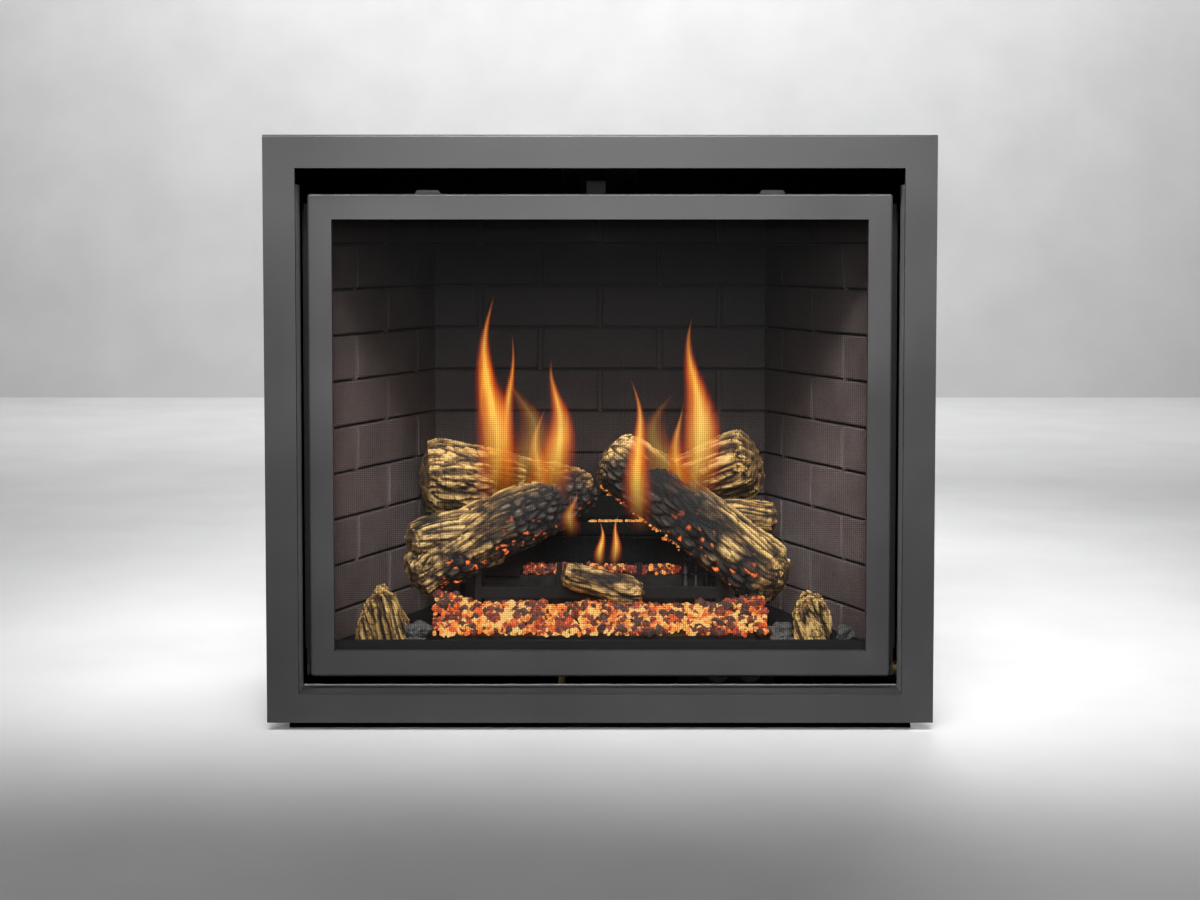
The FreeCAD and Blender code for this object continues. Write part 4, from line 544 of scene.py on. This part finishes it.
def add_chunk(bm, outline, seed):
    """A broken end of a log: a wedge with bark on its sides and split wood on its front."""
    limb = bmesh.new()
    limb.verts.layers.float.new("char")
    limb.verts.layers.float.new("ember")
    relief = limb.verts.layers.float.new("relief")
    corners = len(outline)
    bmesh.ops.create_cone(limb, cap_ends=True, cap_tris=True, segments=corners, radius1=1, radius2=1, depth=1)
    middle = [sum(corner[axis] for corner in outline) / corners for axis in (0, 1)]
    for vert in limb.verts:
        corner = round(math.atan2(vert.co.x, vert.co.y) / math.tau * corners) % corners
        x, z = outline[corner] if vert.co.xy.length > 0.5 else middle
        vert.co = place(x, CHUNK_BACK, z + 0.006) if vert.co.z > 0 else place(x, CHUNK_FRONT, z)
    bmesh.ops.subdivide_edges(limb, edges=limb.edges, cuts=36, use_grid_fill=True)
    for _ in range(6):
        bmesh.ops.smooth_vert(limb, verts=limb.verts, factor=0.5, use_axis_x=True, use_axis_y=True, use_axis_z=True)
    bmesh.ops.recalc_face_normals(limb, faces=limb.faces)
    limb.normal_update()
    lean = 0.9 if seed % 2 else -0.9
    moved = []
    for vert in limb.verts:
        grain = Vector((vert.co.x + lean * vert.co.z * 0.4, vert.co.y, 0.0))
        height = bark_height(grain, vert.co.z * 1.2, seed)
        lump_by = noise.noise(vert.co * 34.0) * 0.004
        moved.append((vert, vert.co + vert.normal * ((height - 0.6) * 0.007 + lump_by), height))
    for vert, spot, height in moved:
        spot.z = max(spot.z, FLOOR_TOP + 0.0004)
        vert.co = spot
        vert[relief] = height
    join_to(bm, limb)


def make_logs(material):
    for seed, (name, limbs) in enumerate(LOGS.items(), 2):
        bm = bmesh.new()
        for number, shares in enumerate(limbs):
            size = {} if number == 0 else {"around": 90, "rows": 80, "depth": 0.006}
            add_log(bm, log_stations(shares), seed * 7 + number, **size)
        finished(bm, "bark_" + name, material, "casing", (name,))
    bm = bmesh.new()
    small = [(-0.055, 0.1727, 0.208, 0.017), (-0.035, 0.1727, 0.203, 0.022), (0.0, 0.1727, 0.193, 0.022),
             (0.045, 0.1727, 0.181, 0.022), (0.063, 0.1727, 0.175, 0.017)]
    add_log(bm, [tuple(place(*s[:3])) + (s[3],) for s in small], 51, around=100, rows=90, depth=0.0055,
            charred=0.15)
    finished(bm, "bark_log_front_small", material, "casing", ("log_front_small",))
    bm = bmesh.new()
    add_chunk(bm, LEFT_CHUNK, 61)
    add_chunk(bm, RIGHT_CHUNK, 67)
    finished(bm, "bark_log_chunks", material, "casing", ("log_chunks",))


# Brick liner

# Metres: height of a course, its top bed joint, a brick's length and the joints
COURSE = 0.0715
TOP_BED = 0.731
BRICK = 0.203
RAKE = 0.004
HEAD_JOINT = 0.008
RAKE_DEPTH = 0.007
SIDE_START = 0.066


def add_brick(bm, layers, matrix, low, high, bottom, top, proud, mortar, chance):
    """One brick face with softened, slightly chipped edges, standing proud of the panel."""
    shade, tone = layers
    size = Matrix.Diagonal((high - low, RAKE_DEPTH, top - bottom, 1.0))
    middle = Matrix.Translation(((low + high) / 2, RAKE_DEPTH / 2 - proud, (bottom + top) / 2))
    made = bmesh.ops.create_cube(bm, size=1.0, matrix=middle @ size)
    edges = list(dict.fromkeys(edge for vert in made["verts"] for edge in vert.link_edges))
    front = [edge for edge in edges if all(vert.co.y < RAKE_DEPTH / 2 - proud for vert in edge.verts)]
    soft = bmesh.ops.bevel(bm, geom=front, offset=0.0022, offset_type="OFFSET", affect="EDGES", segments=2,
                           profile=0.5, material=-1)
    verts = list(dict.fromkeys([vert for vert in made["verts"] if vert.is_valid] + list(soft["verts"])))
    for vert in verts:
        vert[shade] = 1.0
        vert[tone] = mortar
        vert.co.y += chance.uniform(-0.0004, 0.0004)
        vert.co = matrix @ vert.co


def brick_wall(even_start, odd_start, matrix, low_end, high_end, seed):
    """A panel that runs along its own +X and faces its own -Y: backing painted dark as shade in the raked bed
    joints, bricks and paler head joints.
    """
    chance = random.Random(seed)
    bm = bmesh.new()
    shade = bm.verts.layers.float.new("shade")
    tone = bm.verts.layers.float.new("tone")
    slab = Matrix.Translation(((low_end + high_end) / 2, RAKE_DEPTH + 0.0075, FLOOR_TOP + LINER_HEIGHT / 2))
    thick = Matrix.Diagonal((high_end - low_end, 0.015, LINER_HEIGHT, 1.0))
    backing = bmesh.ops.create_cube(bm, size=1.0, matrix=matrix @ slab @ thick)
    for vert in backing["verts"]:
        vert[shade] = 0.06
    lowest = math.ceil((TOP_BED - FLOOR_TOP) / COURSE)
    for number in range(-1, lowest):
        top = min(TOP_BED - COURSE * number - RAKE / 2, FLOOR_TOP + LINER_HEIGHT)
        bottom = max(TOP_BED - COURSE * (number + 1) + RAKE / 2, FLOOR_TOP)
        start = even_start if number % 2 == 0 else odd_start
        heads = [start + BRICK * step for step in range(-1, 4)]
        heads = [head for head in heads if low_end + 0.01 < head < high_end - 0.01]
        ends = [low_end - HEAD_JOINT / 2] + heads + [high_end + HEAD_JOINT / 2]
        for left, right in zip(ends, ends[1:]):
            add_brick(bm, (shade, tone), matrix, left + HEAD_JOINT / 2, right - HEAD_JOINT / 2, bottom, top,
                      chance.uniform(-0.0003, 0.0006), 0.0, chance)
        for head in heads:
            under = max(bottom - RAKE, FLOOR_TOP)
            add_brick(bm, (shade, tone), matrix, head - HEAD_JOINT / 2, head + HEAD_JOINT / 2, under, top,
                      -0.0012, 1.0, chance)
    return bm


def make_bricks(material):
    back = place(0.0, LINER_RECESS + LINER_DEPTH, 0.0)
    inner = LINER_REAR_HALF
    even = inner - BRICK * 1.5
    rear = brick_wall(even, even + BRICK / 2, Matrix.Translation(back - Vector((inner, 0, 0))), -0.012,
                      2 * inner + 0.012, 5)
    finished(rear, "bricks_rear", material, "casing", ("rear_brick_panel",), False)
    slope = math.atan2(LINER_HALF - inner, LINER_DEPTH)
    length = LINER_DEPTH / math.cos(slope)
    corner = Matrix.Translation(back + Vector((inner, 0, 0)))
    right = corner @ Matrix.Rotation(slope - math.pi / 2, 4, "Z")
    for name, mirror, seed in (("right", 1.0, 9), ("left", -1.0, 13)):
        flip = Matrix.Diagonal((mirror, 1.0, 1.0, 1.0))
        wall = brick_wall(SIDE_START, SIDE_START - BRICK / 2, flip @ right, 0.0, length - 0.001, seed)
        finished(wall, "bricks_" + name, material, "casing", (name + "_brick_panel",), False)


# Embers and rocks

GRAINS = 2350
STONES = 350
RISER_LUMPS = 420
STAND_LUMPS = 60
LOG_EDGE_LUMPS = 80


def heap_height(x, recess):
    """Top of the glowing bed on the burner tray."""
    ends = abs(x) / EMBER_HALF
    crown = 0.82 + 0.2 * noise.noise(Vector((x * 11.0, 2.3, 0.7))) + 0.42 * fade(ends, 0.7, 0.92)
    across = fade(recess, 0.088, 0.165) * (1.0 - 0.55 * fade(recess, 0.165, 0.192))
    return TRAY_TOP + 0.009 + (0.036 * crown) * across


def lump(bm, warmth, spot, size, heat, chance):
    """One rough stone with its own heat."""
    turn = Matrix.Rotation(chance.uniform(0.0, 6.28), 4, Vector((chance.uniform(-1, 1), chance.uniform(-1, 1), 1)))
    stretch = Matrix.Diagonal((size * chance.uniform(0.8, 1.3), size * chance.uniform(0.7, 1.2),
                               size * chance.uniform(0.6, 1.0), 1.0))
    made = bmesh.ops.create_icosphere(bm, subdivisions=1, radius=1.0,
                                      matrix=Matrix.Translation(spot) @ turn @ stretch)
    for vert in made["verts"]:
        vert.co += Vector([chance.uniform(-0.22, 0.22) * size for _ in range(3)])
        vert[warmth] = max(0.0, min(1.0, heat + chance.uniform(-0.12, 0.12)))


def make_embers(material):
    """Loose lumps: small pale glowing grains, with larger dull red and black stones lying among them."""
    chance = random.Random(21)
    bm = bmesh.new()
    warmth = bm.verts.layers.float.new("warmth")
    for number in range(GRAINS + STONES):
        x = chance.uniform(-0.258, 0.258)
        recess = chance.uniform(0.094, 0.186)
        top = heap_height(x, recess)
        patch = noise.noise(Vector((x * 24.0, recess * 28.0, 1.0)))
        middle = 1.0 - fade(abs(x), 0.19, 0.26)
        if number < GRAINS:
            size = chance.uniform(0.0026, 0.0056)
            warm = 0.64 + 0.60 * patch + 0.16 * middle + chance.gauss(0.0, 0.18)
            sunk = chance.uniform(0.0, 0.008)
        else:
            size = chance.uniform(0.0052, 0.0098)
            warm = 0.26 + 0.30 * patch + chance.gauss(0.0, 0.15)
            sunk = chance.uniform(0.0, 0.005)
        lump(bm, warmth, place(x, recess, top - sunk), size, max(0.04, min(1.0, warm)), chance)
    for _ in range(RISER_LUMPS):
        x = chance.uniform(-0.122, 0.127)
        spot = place(x, chance.uniform(0.233, 0.283), RISER_TOP + chance.uniform(0.002, 0.010))
        lump(bm, warmth, spot, chance.uniform(0.0024, 0.0056), chance.choice((0.12, 0.25, 0.34, 0.42, 0.75)), chance)
    for _ in range(STAND_LUMPS):
        recess = STAND_RECESS + 0.002
        spot = place(chance.uniform(-0.018, 0.082), chance.uniform(recess, recess + 0.005), STAND_TOP + 0.0015)
        lump(bm, warmth, spot, chance.uniform(0.0016, 0.0030), chance.uniform(0.62, 0.95), chance)
    for _ in range(LOG_EDGE_LUMPS):
        share = chance.random()
        spot = place(0.002 + 0.128 * share, 0.241 - 0.030 * share, 0.338 - 0.097 * share + chance.gauss(0.0, 0.002))
        lump(bm, warmth, spot, chance.uniform(0.0012, 0.0030), chance.uniform(0.30, 0.90), chance)
    finished(bm, "ember_lumps", material, "casing", ("ember_bed",), False)


def make_rocks(material):
    """Rough dark rocks beside the embers, with smaller stones lying round them."""
    chance = random.Random(4)
    bm = bmesh.new()
    rocks = [(-0.281, 0.125, 0.022, 5), (0.281, 0.121, 0.021, 5), (0.380, 0.111, 0.018, 5),
             (-0.335, 0.173, 0.018, 5)]
    for side in (-1, 1):
        for _ in range(16):
            rocks.append((side * chance.uniform(0.269, 0.297), chance.uniform(0.090, 0.160),
                          chance.uniform(0.005, 0.0095), 3))
    for x, recess, size, cuts in rocks:
        shape = Matrix.Diagonal((size, size * 0.9, size * 0.78, 1.0))
        middle = place(x, recess, FLOOR_TOP + size * 0.70)
        made = bmesh.ops.create_icosphere(bm, subdivisions=cuts, radius=1.0,
                                          matrix=Matrix.Translation(middle) @ shape)
        for vert in made["verts"]:
            away = vert.co - middle
            cells = noise.voronoi(vert.co * 75.0)[0][0]
            vert.co = middle + away * (1.02 + 0.45 * noise.noise(vert.co * 60.0) - 0.30 * cells)
            vert.co.z = max(vert.co.z, FLOOR_TOP + 0.0006)
    finished(bm, "rough_rocks", material, "casing", ("lava_rocks",))


# Barrier mesh

# Metres: the wire's thickness and the distance between wires
WIRE = 0.00030
WIRE_PITCH = 0.0031


def make_wires(material):
    """A woven square mesh of separate thin wires in the screen frame."""
    low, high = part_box("screen_mesh")
    depth = (low.y + high.y) / 2
    bm = bmesh.new()
    for axis, span, rise in ((0, high.x - low.x, high.z - low.z), (2, high.z - low.z, high.x - low.x)):
        count = int(span / WIRE_PITCH)
        first = (low.x if axis == 0 else low.z) + (span - count * WIRE_PITCH) / 2
        for number in range(count + 1):
            centre = (low + high) / 2
            centre[axis] = first + number * WIRE_PITCH
            centre.y = depth + (WIRE / 2 if axis == 0 else -WIRE / 2)
            size = (WIRE, WIRE, rise, 1.0) if axis == 0 else (rise, WIRE, WIRE, 1.0)
            bmesh.ops.create_cube(bm, size=1.0, matrix=Matrix.Translation(centre) @ Matrix.Diagonal(size))
    finished(bm, "mesh_wires", material, "barrier_screen", ("screen_mesh",), False)


# Flames

# Each tongue: x, recess and z of its foot, x and z of its tip, half width and strength
TONGUES = [(-0.168, 0.232, 0.296, -0.178, 0.648, 0.042, 1.0), (-0.150, 0.238, 0.325, -0.145, 0.588, 0.020, 0.7),
           (-0.078, 0.236, 0.305, -0.062, 0.545, 0.042, 0.9), (-0.100, 0.242, 0.310, -0.096, 0.470, 0.026, 0.5),
           (0.064, 0.182, 0.272, 0.051, 0.519, 0.028, 0.9), (0.152, 0.196, 0.300, 0.157, 0.616, 0.046, 1.0),
           (0.128, 0.200, 0.305, 0.122, 0.480, 0.024, 0.55), (0.000, 0.225, 0.208, 0.003, 0.286, 0.011, 0.9),
           (0.022, 0.222, 0.208, 0.031, 0.298, 0.012, 0.9), (-0.046, 0.196, 0.262, -0.044, 0.338, 0.020, 0.4),
           (-0.120, 0.244, 0.290, -0.120, 0.520, 0.075, 0.2), (0.105, 0.204, 0.280, 0.105, 0.500, 0.075, 0.2)]


def make_flames(material):
    """Each tongue is two thin crossed leaves that narrow and sway towards the tip."""
    bm = bmesh.new()
    tongue = bm.verts.layers.float_vector.new("tongue")
    body = bm.verts.layers.float.new("body")
    for number, (x, recess, low, tip_x, tip, half, strength) in enumerate(TONGUES):
        for crossed in (False, True):
            made = bmesh.ops.create_grid(bm, x_segments=16, y_segments=40, size=1.0)
            for vert in made["verts"]:
                across = vert.co.x
                height = (vert.co.y + 1.0) / 2
                swell = (0.80 + 0.20 * fade(height, 0.0, 0.2)) * (1.0 - fade(height, 0.14, 1.06)) + 0.02
                sway = half * 0.40 * math.sin(height * 6.8 + number * 2.3) * height
                middle = x + (tip_x - x) * height ** 1.4 + sway
                offset = across * half * swell
                curl = 0.15 * half * math.cos(across * 1.5 + number)
                spot = place(middle, recess, low + (tip - low) * height)
                spot += Vector((0, 0.6 * offset, 0)) if crossed else Vector((offset, curl, 0))
                vert.co = spot
                vert[tongue] = Vector((abs(across), height, 0.0))
                vert[body] = strength
    finished(bm, "flame_tongues", material, "casing")


# Finishes on the CAD nodes

def soften(node, width):
    """Welds the sheet's corners and rounds its sharp edges a little."""
    weld = NODES[node].modifiers.new("weld", "WELD")
    weld.merge_threshold = 0.00001
    rounding = NODES[node].modifiers.new("rounding", "BEVEL")
    rounding.width = width
    rounding.segments = 2
    rounding.limit_method = "ANGLE"
    rounding.angle_limit = math.radians(40)
    rounding.use_clamp_overlap = True


# Nodes shown in another finish than their record's slot, as the photo has them
# valve_bracket and floor_supports are painted black as shade under the firebox; the side returns and the ledge's lip
# take painted light
SHOWN_FINISH = {"valve_bracket": "firebox_black", "floor_supports": "firebox_black",
                "trim_side_returns": "lit_return_paint", "trim_bottom_ledge": "ledge_paint_and_lip_highlight"}


def dress(finishes):
    for part in frame["record"]["subparts"]:
        node = NODES[part["node"]]
        node.data.materials.clear()
        shown = SHOWN_FINISH.get(part["node"], part["material_slot"])
        node.data.materials.append(finishes[shown])


# Studio

def soft_light(name, spot, target, size, power, spread):
    lamp = bpy.data.lights.new(name, "AREA")
    lamp.shape = "RECTANGLE"
    lamp.size, lamp.size_y = size
    lamp.energy = power
    lamp.spread = math.radians(spread)
    holder = bpy.data.objects.new(name, lamp)
    bpy.context.scene.collection.objects.link(holder)
    holder.location = spot
    holder.rotation_euler = (Vector(target) - Vector(spot)).to_track_quat("-Z", "Y").to_euler()


def make_studio():
    scene = bpy.context.scene
    scene.view_settings.view_transform = "Standard"
    world = bpy.data.worlds.new("studio")
    world.use_nodes = True
    world.node_tree.nodes["Background"].inputs["Color"].default_value = (0.92, 0.93, 0.95, 1.0)
    world.node_tree.nodes["Background"].inputs["Strength"].default_value = 0.31
    scene.world = world
    bm = bmesh.new()
    bmesh.ops.create_grid(bm, x_segments=2, y_segments=2, size=6.0)
    mesh = bpy.data.meshes.new("pale_floor")
    bm.to_mesh(mesh)
    bm.free()
    floor = bpy.data.objects.new("pale_floor", mesh)
    scene.collection.objects.link(floor)
    material, tree, shader = start_material("pale_floor")
    spot = object_place(tree)
    feed(tree, shader, Base_Color=ramp(tree, noise_of(tree, spot, 3.0), [(0.3, grey(0.50)), (0.7, grey(0.55))]))
    feed(tree, shader, Roughness=0.7)
    mesh.materials.append(material)
    wall = bpy.data.objects.new("pale_backdrop", mesh.copy())
    wall.rotation_euler = (math.pi / 2, 0.0, 0.0)
    wall.location = (0.0, 6.0, 5.99)
    scene.collection.objects.link(wall)
    soft_light("wall_light", (0.0, 3.6, 4.2), (0.0, 6.0, 1.2), (5.0, 1.0), 210.0, 150.0)
    soft_light("key_light", (-0.1, -1.30, 2.15), (0.0, -0.26, 1.0), (2.4, 0.4), 25.0, 57.0)
    soft_light("front_light", (0.0, -2.7, 1.35), (0.0, 0.0, 0.36), (1.3, 0.6), 3.4, 34.0)
    soft_light("left_light", (-1.9, -1.9, 1.3), (0.0, -0.2, 0.5), (0.9, 1.4), 3.0, 150.0)
    soft_light("right_light", (1.9, -1.9, 1.3), (0.0, -0.2, 0.5), (0.9, 1.4), 3.0, 150.0)
    soft_light("back_light", (0.6, 2.2, 2.0), (0.0, 0.0, 0.5), (1.6, 1.2), 30.0, 150.0)
    lens = bpy.data.cameras.new("front_view")
    lens.sensor_width = 36.0
    lens.lens = 59.2
    lens.shift_y = -0.0893
    camera = bpy.data.objects.new("front_view", lens)
    scene.collection.objects.link(camera)
    camera.location = (0.0, FRONT - 2.930, 0.737)
    camera.rotation_euler = (math.radians(87.0), 0.0, 0.0)
    scene.camera = camera


FINISHES = {
    "charcoal_paint": painted_steel("charcoal_paint", (0.027, 0.0257, 0.026), (0.036, 0.0346, 0.0346), 0.38,
                                    gloss=0.34),
    "galvanised_steel": galvanised(),
    # A paler, lit copy of the charcoal paint for the side returns: painted light
    "lit_return_paint": painted_steel("lit_return_paint", grey(0.20), grey(0.24), 0.4),
    # Dark paint for the bottom ledge, with a painted highlight on its lip
    "ledge_paint_and_lip_highlight": painted_steel("ledge_paint_and_lip_highlight", grey(0.030), grey(0.040), 0.45, highlight_above=0.0556),
    "firebox_black": painted_steel("firebox_black", grey(0.006), grey(0.011), 0.7, gloss=0.2),
    "brick_liner": brick_finish(),
    "door_glass": clear_glass(),
    "gasket_rope": rope_finish(),
    "mesh_wire": painted_steel("mesh_wire", grey(0.003), grey(0.007), 0.8, gloss=0.08),
    "burner_steel": machined("burner_steel", (0.022, 0.019, 0.017), (0.050, 0.044, 0.040), 0.6),
    "cast_grate": painted_steel("cast_grate", grey(0.005), grey(0.012), 0.75, 700.0, gloss=0.25),
    "bark": bark_finish(),
    "embers": ember_finish(),
    "rock": rock_finish(),
    "brass": machined("brass", (0.22, 0.15, 0.055), (0.36, 0.26, 0.11), 0.42),
    "valve_alloy": machined("valve_alloy", (0.38, 0.38, 0.38), (0.56, 0.56, 0.55), 0.48),
    "gas_pipe": machined("gas_pipe", (0.42, 0.42, 0.41), (0.58, 0.58, 0.57), 0.36),
    "control_plastic": moulded_plastic("control_plastic", grey(0.012), grey(0.024), 0.42),
    "button_plastic": moulded_plastic("button_plastic", (0.34, 0.012, 0.010), (0.46, 0.022, 0.016), 0.38),
    "white_ceramic": moulded_plastic("white_ceramic", (0.060, 0.052, 0.044), (0.130, 0.118, 0.104), 0.45),
}

dress(FINISHES)
for sheet_part, edge in (("trim_surround", 0.0010), ("trim_side_returns", 0.0004), ("trim_bottom_ledge", 0.0004),
                         ("screen_hooks", 0.0004), ("hood_bracket", 0.0004), ("door_frame", 0.0006),
                         ("log_grate", 0.0012)):
    soften(sheet_part, edge)
make_logs(FINISHES["bark"])
make_bricks(FINISHES["brick_liner"])
make_embers(FINISHES["embers"])
make_rocks(FINISHES["rock"])
make_wires(FINISHES["mesh_wire"])
make_flames(flame_finish())
make_studio()
